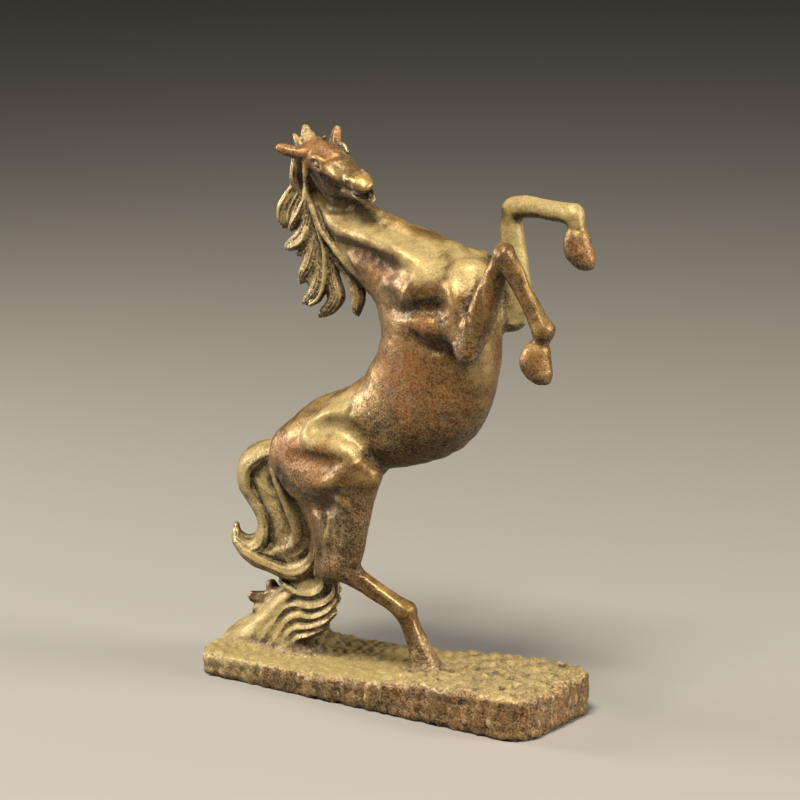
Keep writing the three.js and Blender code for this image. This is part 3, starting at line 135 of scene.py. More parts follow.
# %% A profile carried along a path
class Sweep:
    """An oval profile carried along a smooth path. A row is [x, y, z, deep, broad] in mm: `broad` is the
    half-axis along `side`, `deep` the one square to it and to the path. `strands` ridges, `relief` mm
    deep and gone at the rims, run along it."""

    def __init__(self, rows, side=(0, 1, 0), steps=4, strands=0, relief=0.0):
        rows = np.array([list(r) + [r[3]] * (5 - len(r)) for r in rows], float)
        self.line = spline(rows[:, :3], steps)
        self.girth = spline(np.column_stack([rows[:, 3:5], rows[:, 3] * 0]), steps)[:, :2]
        along = unit(np.gradient(self.line, axis=0))
        across = np.broadcast_to(np.array(side, float), along.shape)
        self.lateral = unit(across - along * (across * along).sum(1, keepdims=True))
        self.normal = np.cross(along, self.lateral)
        self.middle = rows[:, :3].mean(0)
        self.reach = 1.1 * (np.linalg.norm(rows[:, :3] - self.middle, axis=1) + rows[:, 3:5].max(1)).max()
        self.strands, self.relief = strands, relief

    def distance(self, x, y, z):
        """The least oval distance over the path's straight pieces, plus relief (1 - cos(pi strands lane)) / 2
        in the furrows between the strands, with lane the place across the profile."""
        best = np.full(x.shape, 1e3, np.float32)
        lane = np.zeros(x.shape, np.float32)
        for i in range(len(self.line) - 1):
            e = self.line[i + 1] - self.line[i]
            length = np.linalg.norm(e)
            dx, dy, dz = x - self.line[i, 0], y - self.line[i, 1], z - self.line[i, 2]
            t = np.clip((dx * e[0] + dy * e[1] + dz * e[2]) / length**2, 0, 1)
            dx, dy, dz = dx - t * e[0], dy - t * e[1], dz - t * e[2]

            def mix(rows, k):
                """A value between the piece's two ends: first + t (second - first)."""
                return rows[i, k] + t * (rows[i + 1, k] - rows[i, k])

            deep, broad = mix(self.girth, 0), mix(self.girth, 1)
            v = dx * mix(self.lateral, 0) + dy * mix(self.lateral, 1) + dz * mix(self.lateral, 2)
            u = dx * mix(self.normal, 0) + dy * mix(self.normal, 1) + dz * mix(self.normal, 2)
            w = (dx * e[0] + dy * e[1] + dz * e[2]) / length
            d = oval(u, v, w, deep, broad, np.minimum(deep, broad))
            nearer = d < best
            best = np.where(nearer, d, best)
            if self.strands:
                lane = np.where(nearer, u / deep, lane)
        if self.strands:
            edge = np.clip(1.25 - np.abs(lane), 0, 1)
            best = best + self.relief * edge * (0.5 - 0.5 * np.cos(np.pi * self.strands * lane))
        return best


print("a straight 2 mm rod, 5 mm off its middle:",
      Sweep([[0, 0, 0, 2], [0, 0, 9, 2]]).distance(*np.array([[5.0], [0], [4]])))

# %% Oval masses
class Mass:
    """An oval mass: its middle, its three half-axes in mm, and the way its first axis points."""

    def __init__(self, middle, radii, along=(1, 0, 0), side=(0, 1, 0)):
        a = unit(np.array(along, float))
        s = np.array(side, float)
        s = unit(s - a * (s @ a))
        self.middle, self.radii, self.axes = np.array(middle, float), radii, (a, s, np.cross(a, s))
        self.reach = max(radii)

    def distance(self, x, y, z):
        """The oval distance in the mass's own axes."""
        dx, dy, dz = x - self.middle[0], y - self.middle[1], z - self.middle[2]
        u, v, w = (dx * m[0] + dy * m[1] + dz * m[2] for m in self.axes)
        return oval(u, v, w, *self.radii)


egg = Mass([0, 0, 0], [6, 3, 3])
print("an oval of 6 mm half-length, 10 mm off:", egg.distance(*np.array([[10.0], [0], [0]])), "mm away")

# %% [markdown]
# The body comes first: one long oval profile from the breast down the barrel and over
# the rump, a second one for the neck, and the big muscles laid on both sides.
# Only one side is written down for the muscles. The field takes |y|, so the other matches.

# %% Body, neck and the muscles both sides share
barrel = Sweep([
    [13.2, 0, 80.6, 3.8, 6.2], [12.2, 0, 77.2, 8.9, 8], [11.3, 0, 71.5, 11.3, 9], [10.7, 0, 65, 11.7, 9.4],
    [8.3, 0, 58.3, 11.9, 9.4], [2.4, 0, 53.3, 9.8, 9], [-5, 0, 50, 8.2, 8.2], [-13, 0, 46.8, 7.8, 8],
    [-19.8, 0, 43.4, 5.4, 6.2], [-24.4, 0, 41, 2.9, 3.4]])
neck = Sweep([
    [6.8, 0, 77.2, 9, 6.2], [0.6, 0, 81.2, 8, 5.2], [-6.3, 0.1, 85, 6.3, 4.2], [-12, 0.8, 89.6, 4.7, 3.2],
    [-15.6, 1.4, 94.4, 3.8, 2.8], [-17, 1, 98.2, 3.2, 2.6]])
shoulder_mass = Mass([10.6, 5.8, 77.6], [6, 3.6, 4.2], [1, 0, -0.1])
breast_point = Mass([15.2, 4.8, 79.6], [4.2, 3.6, 3.8])
girth_pad = Mass([14.2, 7.4, 72.6], [5.6, 2.4, 2.2], [1, 0.1, -0.3])
hip_point = Mass([-7.2, 6.4, 52], [3.8, 2.2, 2.1], [1, 0, -0.15])
neck_band = Sweep([
    [-11.4, 1.7, 88, 1.5], [-7, 2.2, 86.6, 1.9], [-1.5, 3.4, 85.6, 2.3], [5, 4.6, 83.6, 2.8],
    [11.5, 5.4, 80.6, 3]])
print("barrel path has", len(barrel.line), "stations")

# %% [markdown]
# Each leg is a short chain: shoulder or thigh, the long upper bone, the cannon, and the
# pastern with its hoof. The near and the far legs stand differently, so all four are listed.

# %% Legs
def chain(*paths):
    """One sweep for each path."""
    return [Sweep(path) for path in paths]


near_foreleg = chain(
    [[19.6, -4.2, 80.8, 4.4, 3.6], [20.2, -6.2, 77.4, 4, 3.3], [21.4, -7.6, 72.8, 2.9, 2.9],
     [22.6, -8.8, 68, 1.7, 1.9]],
    [[22.6, -8.8, 69, 2.2, 2.3], [25, -8.7, 74.6, 2.8, 2.6], [27.4, -8.7, 80.6, 2.3, 2.3],
     [29.4, -8.9, 85.4, 1.7, 1.8], [30.3, -9, 87.2, 1.7, 1.8]],
    [[30.2, -9, 86.8, 2, 2], [32, -9, 84.4, 1.9, 1.8], [34.4, -9, 80.8, 1.55, 1.5],
     [36.6, -9, 77.4, 1.7, 1.6], [38.5, -9, 74.6, 2.1, 2]],
    [[38.5, -9, 74.4, 1.8, 1.8], [38.1, -9, 72.4, 1.5, 1.5], [37.2, -9, 70.4, 2.5, 2.4],
     [36.9, -9, 68.8, 2.9, 2.7], [37.8, -9, 67.2, 2.3, 2.3], [39.1, -9, 66, 0.9, 1.2]])
far_foreleg = chain(
    [[14.8, 5.4, 80, 3.6, 3.2], [19, 6.2, 76, 3.2, 3], [21.8, 6.6, 72.2, 2.1, 2.3]],
    [[22.2, 6.6, 72.2, 2.2, 2.4], [22.6, 6.5, 77, 2.9, 2.6], [22, 6.5, 84, 2.5, 2.3],
     [21.7, 6.5, 89.4, 2, 2], [22, 6.5, 91.6, 2, 2]],
    [[22.2, 6.5, 92.2, 2.1, 2], [25, 6, 92.8, 2, 1.8], [29, 5.4, 92.8, 1.8, 1.6], [33, 4.9, 92.7, 1.8, 1.7],
     [35.6, 4.6, 92.6, 2.1, 2]],
    [[36, 4.5, 92.2, 1.8, 1.8], [36.6, 4.5, 90.2, 1.6, 1.6], [36.6, 4.5, 88, 2.5, 2.4],
     [37, 4.5, 86.4, 2.6, 2.5], [38.1, 4.5, 84.9, 2, 2.1], [39.4, 4.5, 83.9, 0.8, 1.1]])
near_hind_leg = chain(
    [[-19.6, -3.6, 43.6, 5.6, 4.6], [-14.5, -5.2, 43, 8.6, 5], [-8, -6.6, 43.4, 8.4, 4.8],
     [-3.2, -7.2, 43.5, 5, 4.4], [-0.9, -7.2, 43.1, 3.1, 3.4]],
    [[-2.8, -7, 42.2, 4.5, 4.2], [-4.2, -6.8, 37.6, 4.5, 3.7], [-5, -6.4, 32, 3.8, 3.1],
     [-5.6, -5.9, 27.6, 3.1, 2.5], [-6.8, -5.5, 24.2, 2.6, 2.3]],
    [[-6.4, -5.6, 25.2, 2.4, 2.2], [-8.6, -5.5, 23.8, 2, 1.9], [-11, -5.4, 22.8, 1.5, 1.5]],
    [[-7.1, -5.3, 23.6, 2.3, 2.2], [-2.4, -4.3, 21.1, 1.8, 1.8], [2.2, -3.3, 18.6, 1.7, 1.8],
     [5, -2.6, 17.1, 1.8, 2]],
    [[4.9, -2.5, 16.8, 1.8, 2], [6.1, -1.9, 13.4, 1.7, 1.8], [7.1, -1.4, 10.4, 2.1, 2.1],
     [8, -1, 7.6, 2.6, 2.6], [8.6, -0.9, 5.6, 3.2, 3.1]])
far_hind_leg = chain(
    [[-19.6, 3.6, 43.6, 5.6, 4.6], [-14.5, 5.2, 43.6, 7.6, 5], [-9.5, 6.4, 45, 6.4, 4.6],
     [-7, 6.6, 45.4, 4.4, 4]],
    [[-9.5, 6.5, 44, 4.6, 4], [-13.2, 6.4, 38.4, 4.4, 3.6], [-17.8, 6.2, 32.6, 3.4, 2.8],
     [-21.4, 6, 28, 2.5, 2.3]],
    [[-21.4, 6, 28, 2.3, 2.1], [-23.6, 6, 28.2, 1.8, 1.7], [-25.4, 6, 28.6, 1.4, 1.4]],
    [[-22, 6, 27.2, 2.3, 2.1], [-22.4, 6, 21.4, 1.9, 1.8], [-22.9, 6, 16, 1.9, 1.8],
     [-23.4, 6, 13.2, 2.2, 2.1]],
    [[-23.3, 6, 12.8, 2, 2], [-22.9, 6.1, 10, 1.9, 1.9], [-22.4, 6.2, 7.4, 2.4, 2.3],
     [-22.2, 6.2, 5.2, 2.9, 2.8], [-22.2, 6.2, 4, 3.1, 3]])
print("legs:", sum(map(len, (near_foreleg, far_foreleg, near_hind_leg, far_hind_leg))), "sweeps")

# %% [markdown]
# The head is turned towards the near side and tipped over, so it is drawn in axes of its
# own: s from the poll to the lips, l to the far side, n out of the forehead. A small
# table of ovals makes skull, jaw, cheeks, brows, eyes and nostrils, and one thin sweep
# cuts the open mouth. What both sides share is given once, with l on the far side.

# %% Head
HEAD_AT = np.array([-16.6, -1.4, 100.4])
turn, drop, tilt = np.radians([17, 17, 26])
head_s = np.array([np.cos(drop) * np.cos(turn), -np.cos(drop) * np.sin(turn), -np.sin(drop)])
level = unit(np.cross([0, 0, 1], head_s))
head_l = level * np.cos(tilt) + np.cross(head_s, level) * np.sin(tilt)
head_axes = np.array([head_s, head_l, np.cross(head_s, head_l)])


def head_sweep(rows):
    """A sweep with rows [s, l, n, deep, broad]: a point is HEAD_AT plus s, l and n times the head's axes."""
    return Sweep([[*(HEAD_AT + np.array(r[:3]) @ head_axes), *r[3:]] for r in rows], head_l)


def head_mass(at, radii, along=(1, 0, 0)):
    """A mass placed and turned by the head's axes."""
    return Mass(HEAD_AT + np.array(at) @ head_axes, radii, np.array(along) @ head_axes, head_l)


def sweep_pair(rows):
    """The same head sweep twice: with -l on the near side, and with l on the far side."""
    return [head_sweep([[s, k * l, *rest] for s, l, *rest in rows]) for k in (-1, 1)]


def mass_pair(at, radii, along=(1, 0, 0)):
    """The same head mass twice: with -l on the near side, and with l on the far side."""
    return [head_mass([at[0], k * at[1], at[2]], radii, along) for k in (-1, 1)]


skull = head_sweep([
    [0.6, 0, -0.6, 2.6, 2.5], [3.4, 0, -0.4, 3, 3], [6.4, 0, -0.2, 3, 3.3], [9.4, 0, -0.5, 2.4, 2.3],
    [12, 0, -0.4, 1.9, 1.9], [14.2, 0, 0.1, 1.55, 2], [15.8, 0, 0.2, 1.35, 1.95], [17, 0, 0.1, 0.95, 1.5]])
lower_jaw = head_sweep([
    [3.8, 0, -5.6, 2.1, 1.8], [8, 0, -5, 1.8, 1.7], [11.6, 0, -3.9, 1.4, 1.4], [14.6, 0, -3.2, 1, 1.2],
    [16.6, 0, -2.9, 0.95, 1.25], [17.8, 0, -2.5, 0.6, 0.95]])
cheeks = mass_pair([4.6, 1.4, -3.4], [4.2, 1.5, 4.6], [1, 0, 0.15])
brows = [head_sweep([[3.9, -2.5, 1.5, 0.35], [5, -2.4, 2, 0.5], [6, -2.3, 2.15, 0.5], [7, -2.2, 1.9, 0.35]]),
         head_sweep([[4.9, 2.7, 1.9, 0.4], [5.8, 3, 2.2, 0.45], [7, 2.95, 2.25, 0.45], [8.1, 2.5, 1.9, 0.4]])]
forehead_ridge = head_sweep([[2.6, 0.3, 2.2, 0.6], [5.2, 0.4, 2.6, 0.6], [8.2, 0.3, 2.15, 0.5]])
forehead_facets = mass_pair([5.8, 1.35, 3.7], [2.4, 0.9, 1.4])
eye_sockets = mass_pair([5.9, 3.7, 1.25], [1.5, 1, 1], [1, 0, -0.2])
eyes = mass_pair([5.9, 2.62, 1.2], [0.8, 0.75, 0.62], [1, 0, -0.1])
under_eyes = sweep_pair([
    [4.9, 2.9, 0.4, 0.25], [5.8, 3.1, 0.15, 0.3], [7, 3.05, 0.25, 0.3], [7.9, 2.7, 0.7, 0.25]])
face_ridges = sweep_pair([[7.8, 2.4, 0.6, 0.5], [9.2, 2.1, 0.3, 0.5], [11.2, 1.8, -0.1, 0.45]])
brow_hollows = sweep_pair([[8.4, 2.1, 2.5, 0.5], [9.8, 1.7, 2.2, 0.6], [12, 1.2, 2, 0.5]])
face_hollows = sweep_pair([[7.8, 3.1, -1, 0.7], [10.2, 2.6, -1.3, 0.7], [12.6, 2.2, -1.2, 0.5]])
forehead_hollow = head_sweep([[9, 0, 2.7, 0.6, 1.2], [12.6, 0, 2.2, 0.6, 1]])
nostril_rims = sweep_pair([
    [13.2, 1.65, 0.3, 0.35], [13.8, 1.6, 1.1, 0.4], [15, 1.45, 1, 0.45], [15.5, 1.8, 0.3, 0.45]])
nostrils = sweep_pair([[13.8, 2.2, 0.7, 0.3], [14.6, 2.2, 0.8, 0.5], [15, 2.3, 0.2, 0.3]])
mouth = head_sweep([
    [13.6, 0, -1.1, 0.15, 2.4], [15.2, 0, -1.4, 0.6, 2.8], [17, 0, -1.5, 0.75, 3], [19, 0, -1.4, 0.85, 3.2]])
lips = sweep_pair([[14.2, 1.5, -2.4, 0.35], [16, 1.25, -2.3, 0.4], [17.6, 0.5, -2.1, 0.32]])
ears = chain(
    [[-15.6, -3.4, 99.5, 1.2, 1], [-18.2, -4.4, 100, 1.25, 1.05], [-20, -5, 100.4, 1.1, 1],
     [-20.9, -5.3, 100.7, 0.85, 0.8]],
    [[-14, 1.8, 100.4, 1.3, 1], [-14.5, 2.8, 101.8, 1.2, 0.95], [-14.8, 3.6, 103, 1.05, 0.85],
     [-14.9, 4, 103.6, 0.75, 0.65]])
ear_cups = chain(
    [[-17.4, -4.6, 101, 0.3], [-19.2, -5.4, 101.4, 0.4], [-20.4, -5.8, 101.5, 0.3]],
    [[-13.6, 1.7, 101.8, 0.3], [-14, 2.5, 103, 0.35], [-14.4, 3.1, 103.8, 0.3]])
print("lips at", (HEAD_AT + 16.7 * head_s).round(1), "mm")

# %% [markdown]
# Hair is cast as locks: flat tapering ribbons that overlap and curl at their tips, each
# with a few ridges along it. A ribbon is the same sweep with a wide, thin profile. The
# thick locks are laid down first, and the thin ones over them, towards the near side.

# %% Mane and forelock
def lock(rows, y, thick, strands, relief=0.0):
    """A ribbon at one y: rows [x, z, half-width], half-thickness `thick` thinning with the width."""
    full = [[x, y, z, wide, thick * min(max(wide / rows[1][2], 0.45), 1)] for x, z, wide in rows]
    return Sweep(full, strands=strands, relief=relief, steps=5)


forelock = [
    Sweep([[-15.4, -2.6, 98.6, 1.9, 1], [-16.6, -2.1, 100.6, 2.4, 1.1], [-17.8, -1.3, 102.5, 1.8, 0.9],
           [-18.5, -0.8, 104.1, 0.8, 0.6]], strands=4, relief=0.22),
    Sweep([[-16.4, -1.2, 99.6, 1.3, 1.1], [-17.2, -0.8, 101.4, 1.1, 1], [-18, -0.6, 102.8, 0.6, 0.7]]),
    Sweep([[-16.6, -3, 99, 0.9, 0.9], [-18.6, -2.4, 100.8, 1.1, 0.9], [-19.8, -1.8, 102, 0.7, 0.7],
           [-20.4, -1.6, 102.6, 0.4, 0.4]]),
    Sweep([[-17, -0.4, 102, 0.6, 0.7], [-16, 0.2, 102, 0.55, 0.6], [-15.2, 0.4, 102.4, 0.35, 0.4]]),
    Sweep([[-16.6, -2.8, 100.4, 0.9, 0.8], [-15.8, -3.7, 98.8, 1, 0.8], [-15.9, -4, 96.8, 0.8, 0.7],
           [-16.4, -3.9, 95, 0.4, 0.4]])]
mane_root = Sweep([
    [-19, 0, 98, 1.6, 1.4], [-19.4, 0, 93, 1.8, 1.4], [-18, 0, 87.6, 2.2, 1.4], [-15, 0, 83, 2.6, 1.4],
    [-11, 0, 80.6, 2.2, 1.4], [-6.8, 0, 78.6, 1.8, 1.5], [-3, 0, 76, 1.2, 1.3]])
mane_locks = [
    lock([[-20.2, 97.4, 1.3], [-20.6, 93.3, 1.7], [-21.6, 90.4, 2.3], [-22.7, 87.9, 1.9],
          [-22.8, 86.4, 0.9]], 0, 1.7, 6, 0.12),
    lock([[-18.4, 93.5, 1.4], [-17.8, 89.9, 1.9], [-17.1, 86.2, 2.2], [-17.2, 82.5, 2.4], [-17.5, 79.3, 2],
          [-17, 76, 1.9], [-16.6, 74.2, 1.2]], 0, 1.7, 6, 0.12),
    lock([[-14.8, 89.2, 1.4], [-13.9, 84.7, 1.9], [-13.7, 79.7, 1.7], [-13.7, 76.4, 1.3],
          [-13.2, 74.2, 1.3], [-13.4, 72.6, 0.9]], 0, 1.6, 5, 0.12),
    lock([[-10.3, 82.3, 1.5], [-8.5, 79.2, 1.6], [-7, 75.7, 1.4], [-6.9, 72.6, 0.6]], -0.1, 1.5, 4, 0.12),
    lock([[-20.3, 98, 1.2], [-20.5, 95.7, 1.45], [-20.3, 94.1, 1.45], [-19.7, 92.3, 1]], -1, 1.3, 4, 0.22),
    lock([[-18, 97, 0.8], [-17.6, 93.6, 1], [-17.4, 90.4, 1], [-18.4, 87.4, 0.8]], -1.2, 1.2, 3, 0.2),
    lock([[-18.7, 93.7, 1.1], [-19.8, 91.7, 2.2], [-21, 89.8, 3], [-21.8, 88, 3.1], [-21.9, 86.5, 2.3],
          [-21.8, 85.2, 0.9]], -0.5, 1.5, 6, 0.26),
    lock([[-21, 92.9, 0.8], [-22.5, 90.7, 1.1], [-23.6, 88.8, 1.1], [-23.9, 87, 0.9], [-23.3, 85.5, 0.6]],
          -1.1, 1.2, 3, 0.2),
    lock([[-17.8, 92.9, 0.7], [-18, 90.8, 0.9], [-19.2, 88.5, 0.9], [-20.6, 86.5, 0.9], [-21.5, 85.2, 0.6]],
          -1.4, 1.2, 3, 0.2),
    lock([[-17.3, 92, 0.9], [-16.9, 89.4, 1.3], [-17.4, 86.8, 1.7], [-18.7, 84.2, 1.9], [-20.6, 82.7, 1.55],
          [-22.1, 81.9, 1], [-23, 81.7, 0.6]], -1, 1.4, 5, 0.26),
    lock([[-17.2, 85.6, 0.7], [-18.2, 83.4, 0.8], [-20, 82.2, 0.8], [-21.6, 81.7, 0.5]],
          -1.9, 0.9, 2, 0.16),
    lock([[-16.7, 86.5, 0.9], [-16.7, 83.9, 1.3], [-17.9, 81.5, 1.3], [-19.6, 80.7, 0.8],
          [-20.5, 80.4, 0.45]], -0.8, 1.3, 4, 0.22),
    lock([[-16.2, 85.1, 0.9], [-16.3, 81.7, 1.45], [-17.2, 79.2, 1.8], [-18.3, 77.4, 1.6],
          [-19.4, 75.9, 0.9], [-19.8, 75.3, 0.5]], -0.9, 1.4, 5, 0.26),
    lock([[-15.3, 81.8, 0.9], [-14.9, 78.1, 1.45], [-15.2, 75.5, 1.8], [-16.5, 73.4, 1.55],
          [-18.1, 72.1, 1.1], [-19.1, 71.6, 0.55]], -0.8, 1.3, 5, 0.26),
    lock([[-14.2, 83, 1.1], [-12.9, 79.5, 1.4], [-12.3, 76.5, 1.4], [-11.6, 73.7, 1.7], [-13, 71.4, 1.4],
          [-14.5, 70.3, 1], [-15.4, 69.7, 0.6]], -0.8, 1.3, 5, 0.26),
    lock([[-14.6, 85.6, 0.8], [-12.4, 81.8, 1], [-9.8, 79.4, 1.2], [-7.6, 77, 1.45], [-6.8, 74.4, 1.6],
          [-6.9, 72.2, 1.1], [-6.9, 70.7, 0.5]], -0.9, 1.3, 4, 0.26),
    lock([[-17.5, 94.5, 0.35], [-16.4, 90.2, 0.45], [-14.9, 86.3, 0.5], [-13.5, 82.4, 0.55],
          [-13.2, 78.7, 0.55], [-13.6, 75.3, 0.55], [-15, 72.7, 0.5], [-16.8, 71.6, 0.35]], -1.9, 0.8, 0),
    lock([[-16, 89.9, 0.45], [-13.3, 85.4, 0.65], [-9.7, 81.8, 0.85], [-6.6, 79.2, 0.85], [-3.7, 77.3, 0.7],
          [-1.5, 75.2, 0.5]], -2.1, 1.1, 0)]
print("locks:", len(mane_locks), "in the mane,", len(forelock), "in the forelock")

# %% [markdown]
# The tail hangs in a double bend and runs into the slab. Its locks are drawn at one face
# and mirrored to the other. They and the core under them are sheared along x, so that the
# far face lags behind and the two don't look stamped from one plate.

# %% Tail
TAIL_SHEAR, TAIL_NEAR = 0.7, 2.0
TAIL_STRANDS, TAIL_RELIEF = 3, 0.14
tail_core = Sweep([
    [-23.6, 0, 42.8, 2.2, 2.2], [-27.8, 0, 39.6, 3.6, 2.6], [-27.8, 0, 34.6, 4.2, 2.7],
    [-23, 0, 30.2, 5.2, 2.9], [-22.2, 0, 24.4, 4.8, 3], [-18, 0, 17.4, 4.6, 3.2], [-19.4, 0, 11, 6, 3.8],
    [-22.6, 0, 5.4, 8.6, 4.8]])
tail_sheet = Sweep([
    [-16.4, 0, 39, 4.4, 2.8], [-13.8, 0, 33, 4.6, 2.9], [-12.6, 0, 27, 4.4, 3], [-13.4, 0, 21, 3.4, 3.1],
    [-14.8, 0, 15, 3.2, 3.4]])
# Each lock: y, half-thickness, and the rows of a ribbon
TAIL_LOCKS = [
    (1.6, 2.1, [[-24.8, 43, 1.2], [-29.4, 41, 1.8], [-32.3, 38, 2], [-32.2, 34.9, 1.8], [-30.2, 32.3, 1.55],
     [-28.5, 29.8, 1.5], [-28.1, 27, 1.6], [-28.9, 24.4, 1.6], [-31, 23.1, 1.45], [-33.2, 23.2, 1.35],
     [-34.7, 24.4, 1.15], [-34.8, 25.8, 0.8]]),
    (1.6, 1.3, [[-30.4, 39.2, 0.98], [-29.2, 36.1, 1.22], [-26.6, 34.6, 1.34], [-23.6, 33.7, 1.34],
     [-22, 31.2, 0.98]]),
    (1.8, 1.4, [[-24.8, 37.4, 0.98], [-22.4, 34, 1.1], [-21, 30.3, 0.85], [-21.2, 26.6, 0.85],
     [-22.9, 24.3, 0.85], [-25.3, 23.8, 0.73], [-27.2, 24.2, 0.49]]),
    (2, 1.5, [[-22.4, 37.6, 0.98], [-18.8, 32.8, 1.22], [-17.5, 29.3, 1.16], [-17.8, 26.3, 1.1],
     [-19.7, 24.1, 1.1], [-22.5, 22.9, 0.98], [-26.3, 22.8, 0.98], [-30.1, 23, 0.85]]),
    (2.3, 1.7, [[-19.4, 35.4, 0.98], [-16.8, 30.7, 1.1], [-15.9, 26.9, 1.34], [-16.6, 23.4, 1.59],
     [-19.2, 20.8, 1.77], [-22.5, 19.9, 1.65], [-26.3, 20.5, 1.46], [-30, 21.2, 1.59], [-32.9, 22.4, 1.3],
     [-34.8, 23.9, 0.9]]),
    (2.3, 1.5, [[-16.4, 35.6, 0.98], [-14.4, 31.4, 1.22], [-13.4, 27.4, 1.22], [-13.8, 23.6, 1.1],
     [-14.8, 20.6, 0.73]]),
    (2.2, 1.5, [[-12.6, 36, 1.1], [-11.2, 31.4, 1.34], [-10.6, 27, 1.34], [-11, 23, 1.1],
     [-12.2, 19.8, 0.73]]),
    (2.3, 1.5, [[-14.1, 21.4, 0.85], [-14.1, 18.7, 1.04], [-16.4, 16.8, 1.1], [-19.5, 16.3, 1.04],
     [-22, 16.8, 0.92], [-24.2, 17.8, 0.61]]),
    (2.5, 1.6, [[-11.5, 20.6, 0.85], [-11.5, 17.9, 1.04], [-13.4, 15.8, 1.1], [-16.9, 14.3, 1.04],
     [-20.6, 14, 0.92], [-23, 13.2, 0.92], [-24.7, 11.5, 0.98], [-26.4, 9, 1.1], [-28.8, 6.4, 1.1]]),
    (2.8, 1.6, [[-10.9, 16.9, 0.85], [-13.2, 14.2, 0.98], [-16.7, 12.4, 0.98], [-20, 12, 0.85],
     [-22.6, 10.7, 0.92], [-24.2, 8.5, 0.98], [-26.1, 6.1, 0.98]]),
    (3.1, 1.6, [[-11.6, 14.2, 0.73], [-14.3, 11.8, 0.92], [-17.6, 10.4, 0.92], [-20.7, 9.6, 0.85],
     [-22.8, 8, 0.85], [-24.2, 6.1, 0.73]]),
    (3.3, 1.6, [[-13.2, 11.4, 0.61], [-16.7, 9.4, 0.79], [-19.7, 8.2, 0.79], [-21.9, 6.6, 0.61]])]
tail_locks = [lock(rows, y, thick, TAIL_STRANDS, TAIL_RELIEF) for y, thick, rows in TAIL_LOCKS]
tail_foot = lock([[-21.4, 16.2, 1.1], [-24.4, 13.5, 1.46], [-27.1, 10.5, 1.59], [-30.2, 7.8, 1.59],
                 [-33.6, 5.5, 1.46], [-36.6, 3.9, 0.98]], 1.7, 2, 0)
tail_side = chain(
    [[-12.6, -4.6, 36.4, 1.8, 2.4], [-9.8, -6, 31.6, 2, 2.4], [-9, -5.8, 27, 1.8, 2.2],
     [-10.6, -4.6, 21.6, 1.5, 1.8]],
    [[-24.4, -2, 38.6, 1.3, 1.6], [-22.2, -2.6, 35.6, 1.6, 1.8], [-20.4, -2.8, 32.4, 1.6, 1.8],
     [-19.2, -2.8, 29.2, 1.3, 1.6], [-18.6, -2.8, 26.8, 0.8, 1.2]],
    [[-15.2, -4.4, 36.4, 1.4, 1.8], [-12.6, -5.4, 31.8, 1.5, 1.9], [-11.8, -5.2, 26.8, 1.4, 1.8],
     [-13.2, -4.4, 21.8, 1, 1.4]])
tail_skirt = Sweep([
    [-22, 0.5, 11, 3, 3.6], [-28, 0.8, 6.6, 3.4, 4.6], [-33, 1, 3.6, 2.6, 5.6]])
tail_tips = [
    Sweep([[-24, 1.8, 14.6, 1.7, 1.3], [-28.6, 2.2, 12.8, 1.5, 1.2], [-31.4, 2, 12, 1.5, 1.2],
           [-33.6, 1.4, 12.3, 1.1, 1]], strands=2, relief=0.2),
    Sweep([[-26.6, 2.4, 12.2, 1.6, 1.4], [-29.2, 2.6, 13.6, 1.5, 1.2], [-30, 2.8, 15, 1.1, 1]]),
    Sweep([[-28.4, 1.8, 11.4, 1.4, 1.2], [-31.2, 1.6, 10.4, 1.3, 1.1], [-32.6, 1.4, 10, 0.9, 0.9]])]
print("locks:", len(tail_locks) + 1, "on each face of the tail")

# %% [markdown]
# A modelling tool leaves furrows between the muscles and pushes up soft ridges. Each
# stroke is a line in space along the skin. It moves the surface in or out by an amount
# that fades to nothing at the stroke's width. Most strokes are made on both flanks.

# %% Tool strokes
def stroke(x, y, z, path, width, depth):
    """How far a stroke moves the surface: depth (1 - (r / width)^2)^2, with r the distance to its line. At
    its two ends the depth falls to three tenths."""
    near = np.full(x.shape, 1e3, np.float32)
    share = np.zeros(x.shape, np.float32)
    for i, (a, b) in enumerate(zip(path[:-1], path[1:])):
        e = b - a
        t = np.clip(((x - a[0]) * e[0] + (y - a[1]) * e[1] + (z - a[2]) * e[2]) / (e @ e), 0, 1)
        r = np.sqrt((x - a[0] - t * e[0]) ** 2 + (y - a[1] - t * e[1]) ** 2 + (z - a[2] - t * e[2]) ** 2)
        share = np.where(r < near, (i + t) / (len(path) - 1), share)
        near = np.minimum(near, r)
    ends = np.clip(4 * np.minimum(share, 1 - share) + 0.3, 0, 1)
    return depth * ends * np.maximum(1 - (near / width) ** 2, 0) ** 2


